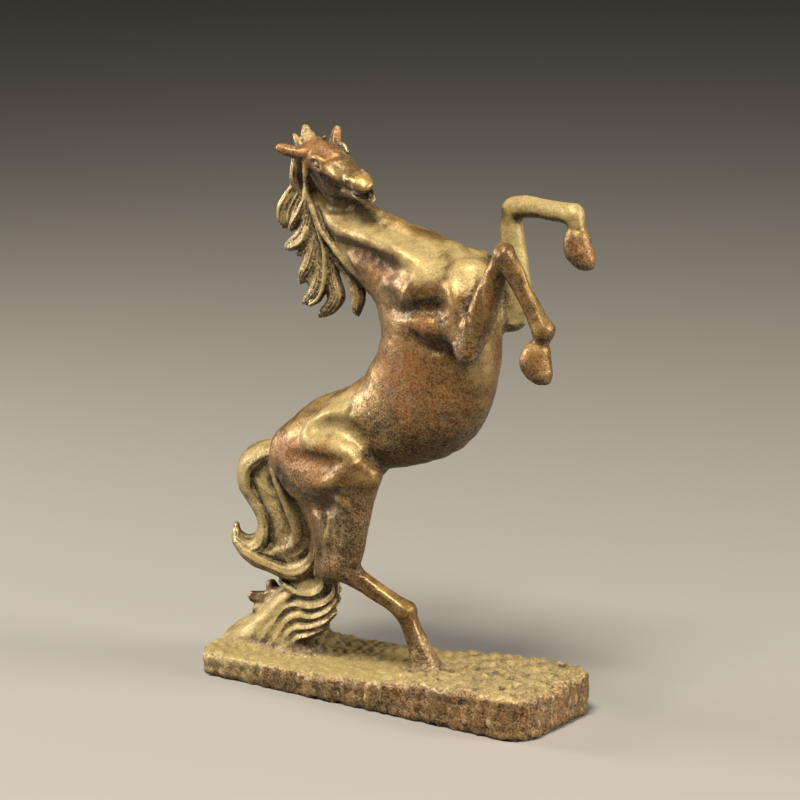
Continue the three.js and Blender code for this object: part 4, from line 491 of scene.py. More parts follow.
# Each stroke: what it is, its line, its half-width, and how deep it cuts (below 0: how far it pushes out)
BOTH_SIDES = [
    ("neck band ridge", [[-12, 3.5, 88.6], [-9.2, 3.6, 86.5], [-5.8, 4.1, 86], [-0.8, 6, 86.1],
     [3.4, 7, 85.5], [6.6, 7.6, 84.4], [9.5, 7.7, 83.4]], 2.6, -0.75),
    ("neck furrow", [[-9.8, 3.4, 84.6], [-6.5, 3.7, 83.8], [-2.8, 4, 83.2], [0.9, 4.8, 82.6],
     [5.3, 7.3, 82], [8.2, 8.3, 81.4]], 3.2, 0.85),
    ("mane root furrow", [[-15.7, 3, 95.3], [-14.5, 3.2, 91.8], [-13.1, 3.2, 88.2], [-10.8, 3.3, 84.8],
     [-7.8, 3.5, 81.7], [-5, 3.4, 78.7]], 0.9, 0.45),
    ("throat notch", [[15.6, 0, 85.4], [16.1, 2, 84.9], [15.6, 4.2, 84.2]], 2.4, 0.8),
    ("withers ridge", [[2.6, 6, 77.7], [4.5, 6.1, 78.5], [7.7, 8.2, 80.6]], 1.6, -0.45),
    ("shoulder knob", [[9.6, 9.2, 79.2], [12.6, 9.3, 77.6]], 3.4, -0.6),
    ("shoulder hollow", [[4.3, 7, 75.7], [7.6, 9, 76]], 3, 0.45),
    ("girth furrow", [[4.5, 7.1, 73.5], [8.1, 7.8, 74.1], [12, 8.8, 75.2], [15, 8.7, 75.9],
     [18.3, 10.8, 76.1], [19.7, 10.9, 74.7], [20.6, 11.1, 72.9], [21.5, 11.1, 70.7], [22.6, 11.2, 68.5]],
     2.2, 0.6),
    ("triceps ridge", [[18.3, 9, 81.5], [19.4, 9.6, 79.4], [20.4, 10.2, 77.2], [21.7, 10.6, 74.2]],
     2.3, -0.4),
    ("pad furrow", [[10, 9.1, 70.5], [12.8, 8.7, 69.5], [15.3, 8, 68.6], [17.2, 7.3, 68.4]], 2, 0.55),
    ("pad", [[9.8, 8.9, 73], [12.5, 9.4, 72.2], [15.6, 9.6, 71.6]], 3, -0.45),
    ("chest plane", [[17.8, 3.3, 83.5], [20.2, 6.5, 80.1], [21.8, 8.7, 77.1], [23.2, 10.8, 74.6]],
     2.2, 0.25),
    ("hip bump", [[-9, 7.9, 54.4], [-6, 8, 54.8], [-3.6, 8, 54]], 3, -0.6),
    ("hip furrow", [[-9.4, 9, 51.2], [-6.8, 9.2, 51.6], [-4.2, 8.9, 51.6], [-1.2, 8.6, 50.6],
     [1.6, 8.4, 49.2]], 2.3, 0.7),
    ("haunch ridge", [[-9.6, 8.3, 53], [-11.9, 8.8, 51.4], [-12.2, 9.6, 49.6], [-10.8, 10.2, 48.2],
     [-7.2, 10.2, 47.8], [-3.2, 10.2, 47.6], [0.6, 9.6, 47]], 2.5, -0.8),
    ("haunch red furrow", [[-15.8, 9.9, 44.2], [-10.7, 11.2, 44.8], [-6.2, 11.7, 45], [-2.7, 11.7, 45.8]],
     2.2, 0.85),
    ("buttock ridge", [[-11.6, 10.6, 41], [-8.2, 11.2, 40.6], [-5, 11.8, 41.4], [-2.4, 11.8, 43.8]],
     2.3, -0.8),
    ("stifle bump", [[-0.6, 10.6, 46], [0.2, 10.6, 44.6]], 1.9, -0.4),
    ("thigh furrow", [[-2.5, 12.2, 43.7], [-2.6, 11.8, 41.4]], 1.6, 0.35),
    ("flank hollow", [[2, 8.8, 51.9], [4.6, 8.5, 50.7]], 3.5, 0.4)]
NEAR_SIDE = [
    ("forearm back furrow", [[21.6, -5.5, 80.2], [21.4, -6.2, 77.2], [24.3, -11.2, 75.1],
     [24.5, -11.2, 72.6]], 1, 0.4),
    ("forearm ridge", [[28.5, -10.8, 84], [28.4, -10.8, 80.8], [28.2, -10.5, 78.1], [27.5, -10, 74.4]],
     1.3, -0.3),
    ("forearm furrow", [[26.9, -10.7, 81.5], [26.7, -11.1, 78], [26.4, -10.9, 74.4]], 1, 0.3),
    ("elbow knob", [[23.7, -11, 69.7], [23.9, -10.5, 68.2]], 1.8, -0.3),
    ("knee cap", [[30.6, -10.8, 87.7], [31.8, -10.5, 86.9]], 2, -0.35),
    ("cannon ridge", [[32.9, -9.2, 86.3], [34.4, -9.3, 83.9], [36.2, -9.8, 80.3], [38.2, -10.1, 77.3],
     [39.9, -10.3, 75.2]], 0.9, -0.35),
    ("cannon furrow", [[32.7, -10.5, 85.1], [34.1, -10.5, 82.3], [35.6, -10.4, 79.8], [37.5, -10.5, 76.6]],
     1, 0.3),
    ("haunch lower furrow", [[-19, -7.8, 40.2], [-16.6, -8.4, 37.8], [-13.4, -8.4, 36.2], [-10, -8.8, 35.8],
     [-7.4, -9.4, 36.6], [-5.8, -10.2, 38.2]], 2.7, 1.5),
    ("gaskin knob", [[-5, -10.4, 38.4], [-3.4, -10.6, 38.2], [-2.6, -10.4, 36.8]], 1.3, -0.9),
    ("tendon ridge", [[-6.9, -9.2, 35.2], [-7.2, -9.2, 33.4], [-8, -8.4, 31], [-8.5, -8.2, 28.2]],
     1.2, -0.5),
    ("tendon furrow", [[-4.6, -10.3, 35.9], [-4.8, -9.7, 32.8], [-5.8, -8.8, 29.2]], 1.1, 0.45),
    ("gaskin ridge", [[0.4, -8.5, 37.6], [-0.6, -8.1, 34.2], [-1.9, -8.1, 30.6]], 1.6, -0.25),
    ("hock hollow", [[-5.6, -8, 25.1], [-4.3, -7.1, 23.9]], 1.4, 0.3),
    ("hind cannon ridge", [[-3.4, -7.1, 26], [-1.3, -5.6, 22.5], [2.9, -4.9, 19.8], [6.6, -4.5, 17.7]],
     1.1, -0.35),
    ("hind cannon furrow", [[-4.1, -6.8, 22.7], [-1.5, -6, 20.7], [2, -5.2, 18.6], [4.5, -4.9, 17.5]],
     1, 0.3),
    ("hind pastern ridge", [[7.4, -3.3, 15.5], [8.3, -3, 12.1], [9.4, -3, 9.3]], 1, -0.3),
    ("tail U ridge", [[-19.6, -3, 34], [-18.9, -3.1, 31.2], [-18.8, -3.1, 28.4], [-19.6, -3.1, 25.8],
     [-21.6, -3, 24.4], [-24, -2.9, 23.8], [-26, -2.8, 24]], 1.3, -0.6),
    ("tail U hollow", [[-23, -2.9, 33.6], [-21.8, -2.9, 30.6], [-21.6, -2.9, 28], [-22.8, -2.9, 26.4]],
     1.7, 0.7),
    ("jaw edge furrow", [[-15.8, -2, 92.6], [-14.2, -2, 90.8], [-11.8, -2.4, 90], [-9.4, -2.4, 90.2],
     [-6.8, -1.8, 90.6]], 1.5, 1),
    ("face ridge", [[-11.4, -6.2, 98.4], [-9.6, -6.3, 97.5], [-7.7, -6.4, 96.4]], 0.9, -0.35),
    ("face furrow", [[-12, -6, 97], [-10.6, -5, 95.9], [-9.4, -4.6, 95], [-7.8, -4.4, 94]], 1.1, 0.55),
    ("hind pastern furrow", [[6.4, -4.2, 15.5], [6.7, -3.6, 12], [7.3, -3.6, 9]], 1.1, 0.3)]
strokes = [(spline(line, 4), width, depth, both)
           for both, some in ((True, BOTH_SIDES), (False, NEAR_SIDE)) for _, line, width, depth in some]
print("strokes:", len(BOTH_SIDES), "on both sides,", len(NEAR_SIDE), "on the near one")

# %% [markdown]
# The slab under the horse is thicker at the head end. Its walls and edges are rough:
# upright dents on the walls, slanting waves on top, as if hammered or trowelled in wax.

# %% Plinth
PLINTH_LENGTH, PLINTH_WIDTH, PLINTH_LOW, PLINTH_HIGH = 74.6, 24.8, 4.8, 8.0
PLINTH_CORNER, PLINTH_EDGE = 5.0, 1.3
FOOT_HEIGHT, FOOT_DRAW = 1.4, 0.35


def ease(v, low, high):
    """0 below low, 1 above high, and 3t^2 - 2t^3 between them."""
    t = np.clip((v - low) / (high - low), 0, 1)
    return t * t * (3 - 2 * t)


def ripple(x, y, z, waves, seed):
    """An uneven ripple of about -1 to 1: a third of the sum of seven sines in chance directions. `waves` are
    the wavelengths in mm along x, y and z."""
    chance = np.random.default_rng(seed)
    total = np.zeros(x.shape, np.float32)
    for _ in range(7):
        way = chance.normal(size=3)
        a, b, c = (way * (2 * np.pi / (np.linalg.norm(way) * np.array(waves)))).astype(np.float32)
        total += np.sin(x * a + y * b + z * c + np.float32(chance.uniform(0, 6.28)))
    return total / 3


def plinth_distance(x, y, z):
    """Distance to a slab with rounded corners and top edge: the length of the distances past wall and lid.
    The wall draws in by FOOT_DRAW (FOOT_HEIGHT - z)^2 at its foot, and the lid climbs along x."""
    qx = np.maximum(np.abs(x) - (PLINTH_LENGTH / 2 - PLINTH_CORNER), 0)
    qy = np.maximum(np.abs(y) - (PLINTH_WIDTH / 2 - PLINTH_CORNER), 0)
    foot = FOOT_DRAW * np.maximum(FOOT_HEIGHT - z, 0) ** 2
    wall = np.hypot(qx, qy) - PLINTH_CORNER + PLINTH_EDGE + foot
    lid = z - (PLINTH_LOW + (PLINTH_HIGH - PLINTH_LOW) * ease(x, -14, 32)) + PLINTH_EDGE
    inside = np.minimum(np.maximum(wall, lid), 0)
    return np.hypot(np.maximum(wall, 0), np.maximum(lid, 0)) + inside - PLINTH_EDGE


def plinth_relief(x, y, z):
    """The dents in mm: tall waves on the walls, short slanting ones on the lid, and small ones on both."""
    to_edge = np.maximum(np.abs(x) / PLINTH_LENGTH, np.abs(y) / PLINTH_WIDTH)
    lid = ease(z, 4.2, 5.4) * (1 - ease(to_edge, 0.47, 0.5))
    upright = ripple(x, y, z, (2.4, 2.4, 8.0), 5)
    slanting = ripple(x + 0.6 * y, y - 0.5 * x, z, (2.0, 4.4, 4.0), 6)
    small = ripple(x, y, z, (1.4, 1.4, 2.2), 7)
    waves = (0.14 + 0.20 * ease(x, -4, 12)) * slanting * lid
    return 0.24 * upright * (1 - 0.8 * lid) + waves + 0.15 * small * (1 - 0.4 * lid)


print("plinth:", PLINTH_LENGTH, "by", PLINTH_WIDTH, "mm, walls", PLINTH_LOW, "to", PLINTH_HIGH, "mm high")

# %% [markdown]
# Now the masses are laid on in order, like clay: each with its own blend, the width over
# which it melts into what is already there. A mass is only worked out for the points near
# it. "fold" mirrors it to both sides, "cut" takes it away, and "lean" shears it with the tail.

# %% The whole statue as one field
def entries(shapes, blends, **kind):
    """Pairs each shape with its blend in mm."""
    blends = blends if isinstance(blends, list) else [blends] * len(shapes)
    return [dict(shape=s, blend=b, **kind) for s, b in zip(shapes, blends)]


CLAY = (
    entries([barrel], 0.1) + entries([neck], 4) + entries([shoulder_mass], 1.6, fold=True)
    + entries([breast_point], 2.5, fold=True) + entries([neck_band], 1.5, fold=True)
    + entries([girth_pad, hip_point], 1.2, fold=True)
    + entries(near_hind_leg, [1.6, 1.3, 1.2, 1.2, 1.0]) + entries(far_hind_leg, [1.8, 1.5, 1.2, 1.2, 1.0])
    + entries(near_foreleg, [2.8, 0.9, 0.8, 0.6]) + entries(far_foreleg, [2.4, 1.0, 0.8, 0.6])
    + entries([skull], 1.6) + entries([lower_jaw, *cheeks], 0.8)
    + entries([forehead_hollow, *face_hollows], 0.9, cut=True) + entries([forehead_ridge], 1.2)
    + entries(forehead_facets + brow_hollows, 0.7, cut=True) + entries(brows, 0.7)
    + entries(face_ridges, 0.8) + entries(nostril_rims, 0.4) + entries([mouth], 0.35, cut=True)
    + entries(lips, 0.3) + entries(eye_sockets, 0.4, cut=True) + entries(nostrils, 0.25, cut=True)
    + entries(eyes, 0.12) + entries(under_eyes, 0.3) + entries(ears, 0.6) + entries(ear_cups, 0.3, cut=True)
    + entries([mane_root], 0.8) + entries(mane_locks, 0.35) + entries(forelock, 0.35)
    + entries([tail_core, tail_sheet], 1.2, lean=True)
    + entries([*tail_locks, tail_foot], 0.4, fold=True, lean=True)
    + entries(tail_side, 1.4) + entries([tail_skirt], 1.5) + entries(tail_tips, 0.6))
STROKE_REACH = 2.5


def away_from(middle, x, y, z):
    """The distance from a point, by Pythagoras."""
    return np.sqrt((x - middle[0]) ** 2 + (y - middle[1]) ** 2 + (z - middle[2]) ** 2)


def statue_distance(x, y, z):
    """Distance to the whole casting for arrays of points in mm: every mass joined in order, then the
    strokes and a slight unevenness near the skin, then the plinth, and all of it cut flat at z = 0."""
    d = np.full(x.shape, 60, np.float32)
    for c in CLAY:
        shape, blend, cut = c["shape"], c["blend"], c.get("cut", False)
        px = x + TAIL_SHEAR * (y + TAIL_NEAR) if c.get("lean") else x
        py = np.abs(y) if c.get("fold") else y
        away = away_from(shape.middle, px, py, z) - shape.reach
        near = np.flatnonzero(away < (blend - d if cut else d + blend))
        if len(near) == 0:
            continue
        other = shape.distance(px[near], py[near], z[near])
        d[near] = -smooth_min(-d[near], other, blend) if cut else smooth_min(d[near], other, blend)
    close = np.flatnonzero(np.abs(d) < STROKE_REACH)
    x0, y0, z0 = x[close], y[close], z[close]
    for path, width, depth, both in strokes:
        y1 = np.abs(y0) if both else y0
        middle = (path.min(0) + path.max(0)) / 2
        reach = np.linalg.norm(path - middle, axis=1).max() + width
        found = np.flatnonzero(away_from(middle, x0, y1, z0) < reach)
        d[close[found]] += stroke(x0[found], y1[found], z0[found], path, width, depth)
    d[close] += 0.055 * ripple(x0, y0, z0, (4.5, 4.5, 4.5), 1) + 0.03 * ripple(x0, y0, z0, (1.7, 1.7, 1.7), 2)
    slab = plinth_distance(x, y, z)
    close = np.flatnonzero(np.abs(slab) < STROKE_REACH)
    slab[close] += plinth_relief(x[close], y[close], z[close])
    return np.maximum(smooth_min(d, slab, 1.2 + 2.2 * ease(-x, 9, 15)), -z)


print("masses laid on:", len(CLAY))

# %% [markdown]
# The skin is drawn where the field is zero. Space is cut into small cells, and the field
# is worked out at their corners. Far from the skin one value a block of cells is enough,
# which saves most of the work.

# %% Sample the field
CELL = 0.3
BATCH = 400000


def sample(field, low, high, cell, block=8):
    """The field's values on a grid, worked out in full only in blocks whose middle lies near the surface:
    nearer than the block's half-diagonal, with some to spare because blending makes distances inexact."""
    blocks = np.ceil((high - low) / (cell * block)).astype(int)
    middles = np.stack(np.meshgrid(*[np.arange(n) for n in blocks], indexing="ij"), -1).reshape(-1, 3)
    middle = (low + (middles + 0.5) * block * cell).astype(np.float32)
    value = field(*middle.T.copy())
    reach = block * cell * np.sqrt(3) / 2
    values = np.full(blocks * block, 10, np.float32)
    tiles = values.reshape(blocks[0], block, blocks[1], block, blocks[2], block).transpose(0, 2, 4, 1, 3, 5)
    tiles[tuple(middles.T)] = value[:, None, None, None]
    chosen = middles[np.abs(value) < reach * 1.6 + 1]
    step = np.stack(np.meshgrid(*[np.arange(block)] * 3, indexing="ij"), -1).reshape(-1, 3)
    points = (low + (chosen[:, None] * block + step[None]) * cell).reshape(-1, 3).astype(np.float32)
    parts = np.array_split(points, max(1, len(points) // BATCH))
    found = np.concatenate([field(*part.T.copy()) for part in parts])
    tiles[tuple(chosen.T)] = found.reshape(-1, block, block, block)
    return values


low, high = np.array([-43.0, -16.0, -0.5 * CELL]), np.array([45.0, 16.0, 107.0])
values = sample(statue_distance, low, high, CELL)
print("grid:", values.shape, "corners,", round(100 * (values < 0).mean(), 1), "% of them in the brass")

# %% [markdown]
# A cell whose corners are not all on one side gets one point, the mean of the places
# where its edges cross the surface. Every crossed edge gets a four-sided face between the
# four cells around it. Such a skin is closed and even, and follows any form.

# %% Skin
def skin(values, low, cell):
    """Points and four-sided faces of the zero surface of a grid of values: an edge between values a and b
    is crossed at the share a / (a - b) of its length."""
    inside = values < 0
    corners = [(a, b, c) for a in (0, 1) for b in (0, 1) for c in (0, 1)]
    n = np.array(values.shape) - 1

    def shifted(array, offset):
        """The array's part for one corner of every cell."""
        return array[tuple(slice(o, o + m) for o, m in zip(offset, n))]

    count = sum(shifted(inside, c).astype(np.int8) for c in corners)
    cells = np.argwhere((count > 0) & (count < 8))
    number = np.full(tuple(n), -1, np.int32)
    number[tuple(cells.T)] = np.arange(len(cells))
    total, crossings = np.zeros((len(cells), 3)), np.zeros(len(cells))
    at = {c: values[tuple((cells + c).T)] for c in corners}
    for axis in range(3):
        for c in corners:
            if c[axis]:
                continue
            far = tuple(v + (i == axis) for i, v in enumerate(c))
            crossed = (at[c] < 0) != (at[far] < 0)
            share = np.where(crossed, at[c] / np.where(crossed, at[c] - at[far], 1), 0)
            for i in range(3):
                total[:, i] += crossed * (c[i] + (share if i == axis else 0))
            crossings += crossed
    points = low + (cells + total / crossings[:, None]) * cell
    faces = []
    for axis in range(3):
        others = [i for i in range(3) if i != axis]
        here = tuple(slice(0, m) if i == axis else slice(1, m) for i, m in enumerate(n))
        there = tuple(slice(1, m + 1) if i == axis else slice(1, m) for i, m in enumerate(n))
        a, b = inside[here], inside[there]
        spots = np.argwhere(a != b)
        spots[:, others] += 1
        leaves = a[a != b]
        around = []
        for da, db in ((1, 1), (0, 1), (0, 0), (1, 0)):
            shift = np.zeros(3, int)
            shift[others[0]], shift[others[1]] = da, db
            around.append(number[tuple((spots - shift).T)])
        quad = np.stack(around, 1)
        inward = ~leaves if axis != 1 else leaves
        quad[inward] = quad[inward][:, ::-1]
        faces.append(quad)
    return points, np.concatenate(faces)


points, faces = skin(values, low, CELL)
print("skin:", len(points), "points,", len(faces), "faces")
print("its box in mm:", points.min(0).round(1), points.max(0).round(1))

# %% [markdown]
# The grid's points are dense everywhere, also where the form is plain. Collapsing the
# shortest and flattest edges first keeps the points where the relief is. Each point is
# then moved back onto the true surface, and the skin is kept inside the solid's box.

# %% Mesh
TRIANGLES = 195000
NEWTON_LIMIT = 0.08


def surface_normals(field, v, step=0.06):
    """The field's slope divided by its length, from differences over `step` mm each way along x, y and z."""
    axes = np.eye(3, dtype=np.float32) * np.float32(step)
    slope = np.stack([field(*(v + e).T.copy()) - field(*(v - e).T.copy()) for e in axes], 1)
    return unit(slope)


draft = bpy.data.meshes.new("draft")
draft.from_pydata(points, [], faces)
rough_cast = bpy.data.objects.new("draft", draft)
bpy.context.scene.collection.objects.link(rough_cast)
thinning = rough_cast.modifiers.new("thin", "DECIMATE")
thinning.use_collapse_triangulate = True
thinning.ratio = min(1, TRIANGLES / (2 * len(faces)))
mesh = bpy.data.meshes.new_from_object(rough_cast.evaluated_get(bpy.context.evaluated_depsgraph_get()))
bpy.data.objects.remove(rough_cast)
bpy.data.meshes.remove(draft)
mesh.name = "rearing_horse"
skin_points = np.empty(len(mesh.vertices) * 3, np.float32)
mesh.vertices.foreach_get("co", skin_points)
skin_points = skin_points.reshape(-1, 3)
normals = surface_normals(statue_distance, skin_points)
gap = statue_distance(*skin_points.T.copy())
skin_points = skin_points - normals * np.clip(gap, -NEWTON_LIMIT, NEWTON_LIMIT)[:, None]
box_low, box_high = np.array(cad_box[0]), np.array(cad_box[1])
placed = np.clip(skin_points / 1000, box_low, box_high)
mesh.vertices.foreach_set("co", placed.ravel())
mesh.polygons.foreach_set("use_smooth", np.ones(len(mesh.polygons), bool))
horse = bpy.data.objects.new("rearing_horse", mesh)
bpy.context.scene.collection.objects.link(horse)
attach(horse, "root")
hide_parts("rearing_horse_statue")
print("mesh:", len(mesh.polygons), "triangles")

# %% [markdown]
# Patina gathers in hollows and is rubbed off ridges. The field gives both: a point a
# little way out along the normal is as far from the surface as it has moved, unless
# another wall is near. What is missing from that distance says how deep the hollow is,
# and the same test inwards says how sharp the ridge is. The darkening that the hollows
# bring is part patina and part painted shade, and the widest measure is painted shade only.

# %% Hollows, ridges and stains on the skin
def crowding(reach):
    """1 - (distance `reach` mm out along the normal) / reach, above 0 in a hollow. A reach below 0 goes
    inwards and is above 0 on a ridge."""
    return 1 - statue_distance(*(skin_points + normals * reach).T.copy()) / reach


def keep(name, values):
    """Stores one value a point for the material, cut off below 0 and above 1."""
    attribute = mesh.attributes.new(name, "FLOAT", "POINT")
    attribute.data.foreach_set("value", np.clip(values, 0, 1).astype(np.float32))


def stains(spots):
    """Soft round patches on the skin: the largest of strength (1 - (r / radius)^2) over the spots."""
    total = np.zeros(len(skin_points))
    for x, y, z, radius, strength in spots:
        r2 = ((skin_points - [x, y, z]) ** 2).sum(1) / radius ** 2
        total = np.maximum(total, strength * np.maximum(1 - r2, 0))
    return total


# Each spot: x, y, z, radius, strength. A strength above 1 gives the patch a full, even middle
RED_SPOTS = [
    (-4, -4, 83, 5, 0.9), (1, -5, 82, 5, 0.9), (6, -8, 81.5, 4, 0.6), (-9.8, -5.1, 100.7, 3.5, 0.9),
    (-13, -10, 44.5, 9, 1), (-20, -7, 44, 6, 0.9), (-4, -11, 46, 6, 0.6), (13, -9, 59, 12, 1),
    (6, -9, 65, 9, 0.8), (14, -10, 72.5, 3.5, 1), (-14, -4, 101, 6, 1), (-20, -4.5, 100, 4, 0.8),
    (-13, 3, 103, 4, 0.9), (23, -10, 68, 3.5, 0.8), (28, -10, 79, 4, 0.6), (-2, -9, 47, 5, 0.4),
    (-6, -8, 26, 5, 0.7), (37, -4, 4, 11, 1), (27, -12, 3, 10, 1), (13, -12, 3, 9, 0.9),
    (-2, -12, 2, 7, 0.7), (-20, -12, 1, 6, 0.6), (-3, -7, 96.5, 3, 0.3), (37, -10, 68, 5, 0.9),
    (38, 4, 86, 5, 0.8), (8, -5, 14, 4, 0.6), (-14, 10, 46, 8, 0.7), (10, 9, 60, 9, 0.8)]
OLIVE_SPOTS = [
    (18, 0, 82, 8, 1), (22, 4, 84, 8, 1), (21, -6, 82, 5, 1), (23, 7, 84, 8, 1.7), (27, 5, 92, 7, 1.6),
    (34, 5, 94, 6, 1.4), (-7, -8, 54, 6, 1), (-11, -9, 50, 5, 1), (-3, -9, 48.5, 5, 0.9),
    (-18, 0, 82, 17, 1), (-12, -1, 76, 10, 1), (-21, 0, 92, 10, 1), (-8, -6.5, 97.5, 3, 0.6),
    (-18.2, -1.2, 103, 2.8, 1), (-30, -3, 38, 8, 1.35), (-28, -6, 6, 13, 1.25), (-31, -2, 25, 6, 1.2),
    (-3, -4, 88, 5, 1), (4, -5, 87.4, 5, 1), (9.5, -6, 84.8, 6, 1), (13, -7, 83, 5, 1), (-26, 0, 34, 15, 1),
    (-20, 0, 16, 14, 1), (-30, 0, 6, 10, 1), (26, -4, 64, 8, 0.8), (25, 7, 74, 8, 1.7),
    (-7, -9, 32, 4, 0.7)]
ROUGH_SPOTS = [
    (-4, -8, 33, 10, 1), (-7, -8, 26, 6, 1), (-14, -9, 40, 7, 0.8), (38, -9, 68, 6, 0.45),
    (38, 4, 86, 6, 0.45), (-22, -3, 28, 9, 0.8), (8, -2, 8, 7, 0.8), (-28, -2, 42, 6, 0.7),
    (-16, 0, 80, 14, 0.5), (12, -9, 56, 12, 0.5), (24, -9, 70, 6, 0.8), (4, -9, 52, 8, 0.8),
    (-12, -5, 94, 6, 0.5)]
# The widest reach, 4.5 mm, says how enclosed a point is; the patina darkens by it as painted shade.
for name, reach in (("fine_hollow", 0.5), ("hollow", 1.6), ("occlusion_shade", 4.5),
                    ("fine_ridge", -0.45), ("ridge", -1.4)):
    keep(name, crowding(reach))
keep("red_stain", stains(RED_SPOTS))
keep("olive_stain", stains(OLIVE_SPOTS))
keep("upward", normals[:, 2] * 0.5 + 0.5)
on_plinth = ease(-plinth_distance(*skin_points.T), -1.2, -0.2)
keep("on_plinth", on_plinth)
dusty_lid = ease(normals[:, 2], 0.6, 0.9) * (1 - ease(skin_points[:, 0], 4, 16))
rough_slab = on_plinth * (0.8 - 0.5 * dusty_lid)
keep("coarse", np.maximum(rough_slab, np.maximum(stains(ROUGH_SPOTS), 0.22)))
print("kept", len(mesh.attributes), "attributes")

# %% [markdown]
# Old cast brass is brown, not yellow: a thin dark oxide lies over the metal, olive dirt
# fills the hollows and dulls them, a reddish oxide shows in patches, and handling wears
# the ridges back to pale gold. Two groups of nodes make this, one for the grain and one
# for the patina. A few small functions keep their nodes readable.

# %% Node groups
def group(name, inputs, outputs):
    """A new shader group with named sockets; returns the tree, its input node and its output node."""
    tree = bpy.data.node_groups.new(name, "ShaderNodeTree")
    for label, kind, value in inputs:
        socket = tree.interface.new_socket(label, in_out="INPUT", socket_type=kind)
        if value is not None:
            socket.default_value = value
    for label, kind in outputs:
        tree.interface.new_socket(label, in_out="OUTPUT", socket_type=kind)
    return tree, tree.nodes.new("NodeGroupInput"), tree.nodes.new("NodeGroupOutput")


def link(tree, source, target):
    """Links two sockets, or sets the target's number where the source is plain."""
    if isinstance(source, bpy.types.NodeSocket):
        tree.links.new(source, target)
    else:
        target.default_value = source


def maths(tree, operation, a, b=0.5, c=0.5, clamp=False):
    """One Math node: a and b (and c) joined by the operation."""
    node = tree.nodes.new("ShaderNodeMath")
    node.operation, node.use_clamp = operation, clamp
    for socket, value in zip(node.inputs, (a, b, c)):
        link(tree, value, socket)
    return node.outputs[0]


def ramp(tree, value, low, high, to_low=0.0, to_high=1.0):
    """A smooth step: to_low where the value is at low, to_high at high, 3t^2 - 2t^3 between them."""
    node = tree.nodes.new("ShaderNodeMapRange")
    node.interpolation_type = "SMOOTHSTEP"
    labels = ("Value", "From Min", "From Max", "To Min", "To Max")
    for label, v in zip(labels, (value, low, high, to_low, to_high)):
        link(tree, v, node.inputs[label])
    return node.outputs["Result"]


def mixed(tree, share, first, second):
    """The colour first (1 - share) + second share."""
    node = tree.nodes.new("ShaderNodeMix")
    node.data_type = "RGBA"
    for label, v in (("Factor_Float", share), ("A_Color", first), ("B_Color", second)):
        link(tree, v, next(i for i in node.inputs if i.identifier == label))
    return next(o for o in node.outputs if o.identifier == "Result_Color")


def noise(tree, place, scale, detail, roughness):
    """Noise of about 0 to 1 with `scale` lumps a metre, each finer layer `roughness` as strong."""
    node = tree.nodes.new("ShaderNodeTexNoise")
    link(tree, place, node.inputs["Vector"])
    for label, v in (("Scale", scale), ("Detail", detail), ("Roughness", roughness)):
        link(tree, v, node.inputs[label])
    return node.outputs["Fac"]


print("node helpers: group, link, maths, ramp, mixed and noise")

# %% [markdown]
# The sand of the mould leaves grains and small pits. Two noises make the grain, cells make
# the pits, and the same grain gives a speckle: dirt stays low, and the high specks are
# painted glints.

# %% Sand-cast grain
grain, g_in, g_out = group(
    "sand_cast_grain", [("Place", "NodeSocketVector", None), ("Coarse", "NodeSocketFloat", 0.4)],
    [("Height", "NodeSocketFloat"), ("Speckle", "NodeSocketFloat")])
fine = noise(grain, g_in.outputs["Place"], 2600.0, 3.0, 0.6)
lumps = noise(grain, g_in.outputs["Place"], 800.0, 3.0, 0.6)
pits = grain.nodes.new("ShaderNodeTexVoronoi")
link(grain, g_in.outputs["Place"], pits.inputs["Vector"])
link(grain, 1500.0, pits.inputs["Scale"])
pit_depth = ramp(grain, pits.outputs["Distance"], 0.0, 0.3, -0.5, 0.0)
height = maths(grain, "ADD", maths(grain, "ADD", fine, lumps), pit_depth)
link(grain, maths(grain, "MULTIPLY", height, g_in.outputs["Coarse"]), g_out.inputs["Height"])
specks = maths(grain, "MULTIPLY_ADD", lumps, 0.3, maths(grain, "MULTIPLY", fine, 0.7))
link(grain, ramp(grain, specks, 0.36, 0.64), g_out.inputs["Speckle"])
print("grain nodes:", len(grain.nodes))

# %% [markdown]
# The patina is built up as it grows: brown brass, gold where it is rubbed and, as a
# painted top light, where it faces up, red oxide, dark tarnish, olive dirt, near-black
# in the deepest hollows, part patina and part painted shade, and on faces turned down as
# painted shade, and last the worn ridges. How much of each shows is a weighted sum of the
# kept values and of soft clouds, passed through a smooth step.

# %% Patina
KEPT = {
    "Fine hollow": "fine_hollow", "Hollow": "hollow", "Occlusion shade": "occlusion_shade",
    "Fine ridge": "fine_ridge", "Ridge": "ridge", "Red": "red_stain", "Olive": "olive_stain",
    "Upward": "upward", "Plinth": "on_plinth", "Coarse": "coarse"}
patina, p_in, p_out = group(
    "brass_patina",
    [("Place", "NodeSocketVector", None), ("Speckle", "NodeSocketFloat", 0.5)]
    + [(label, "NodeSocketFloat", 0.0) for label in KEPT],
    [("Colour", "NodeSocketColor"), ("Metal", "NodeSocketFloat"), ("Roughness", "NodeSocketFloat"),
     ("Gloss", "NodeSocketFloat")])
P = p_in.outputs
BROWN, GOLD, TARNISH = (0.124, 0.056, 0.008, 1), (0.305, 0.190, 0.052, 1), (0.050, 0.020, 0.004, 1)
UMBER_AND_SHADE, RED_OXIDE = (0.016, 0.007, 0.003, 1), (0.165, 0.054, 0.007, 1)
OLIVE_DIRT, PALE_GOLD = (0.305, 0.234, 0.092, 1), (0.610, 0.480, 0.280, 1)


def times(a, b):
    """The product of two values in the patina."""
    return maths(patina, "MULTIPLY", a, b)


def weigh(*terms, base=0.0):
    """The base plus the sum of value times weight over the terms."""
    for value, weight in terms:
        base = maths(patina, "MULTIPLY_ADD", value, weight, base)
    return base


def share(low, high, most, *terms, base=0.0):
    """How much of a finish shows: 0 where the weighted sum is at low, `most` where it is at high."""
    return ramp(patina, weigh(*terms, base=base), low, high, 0.0, most)


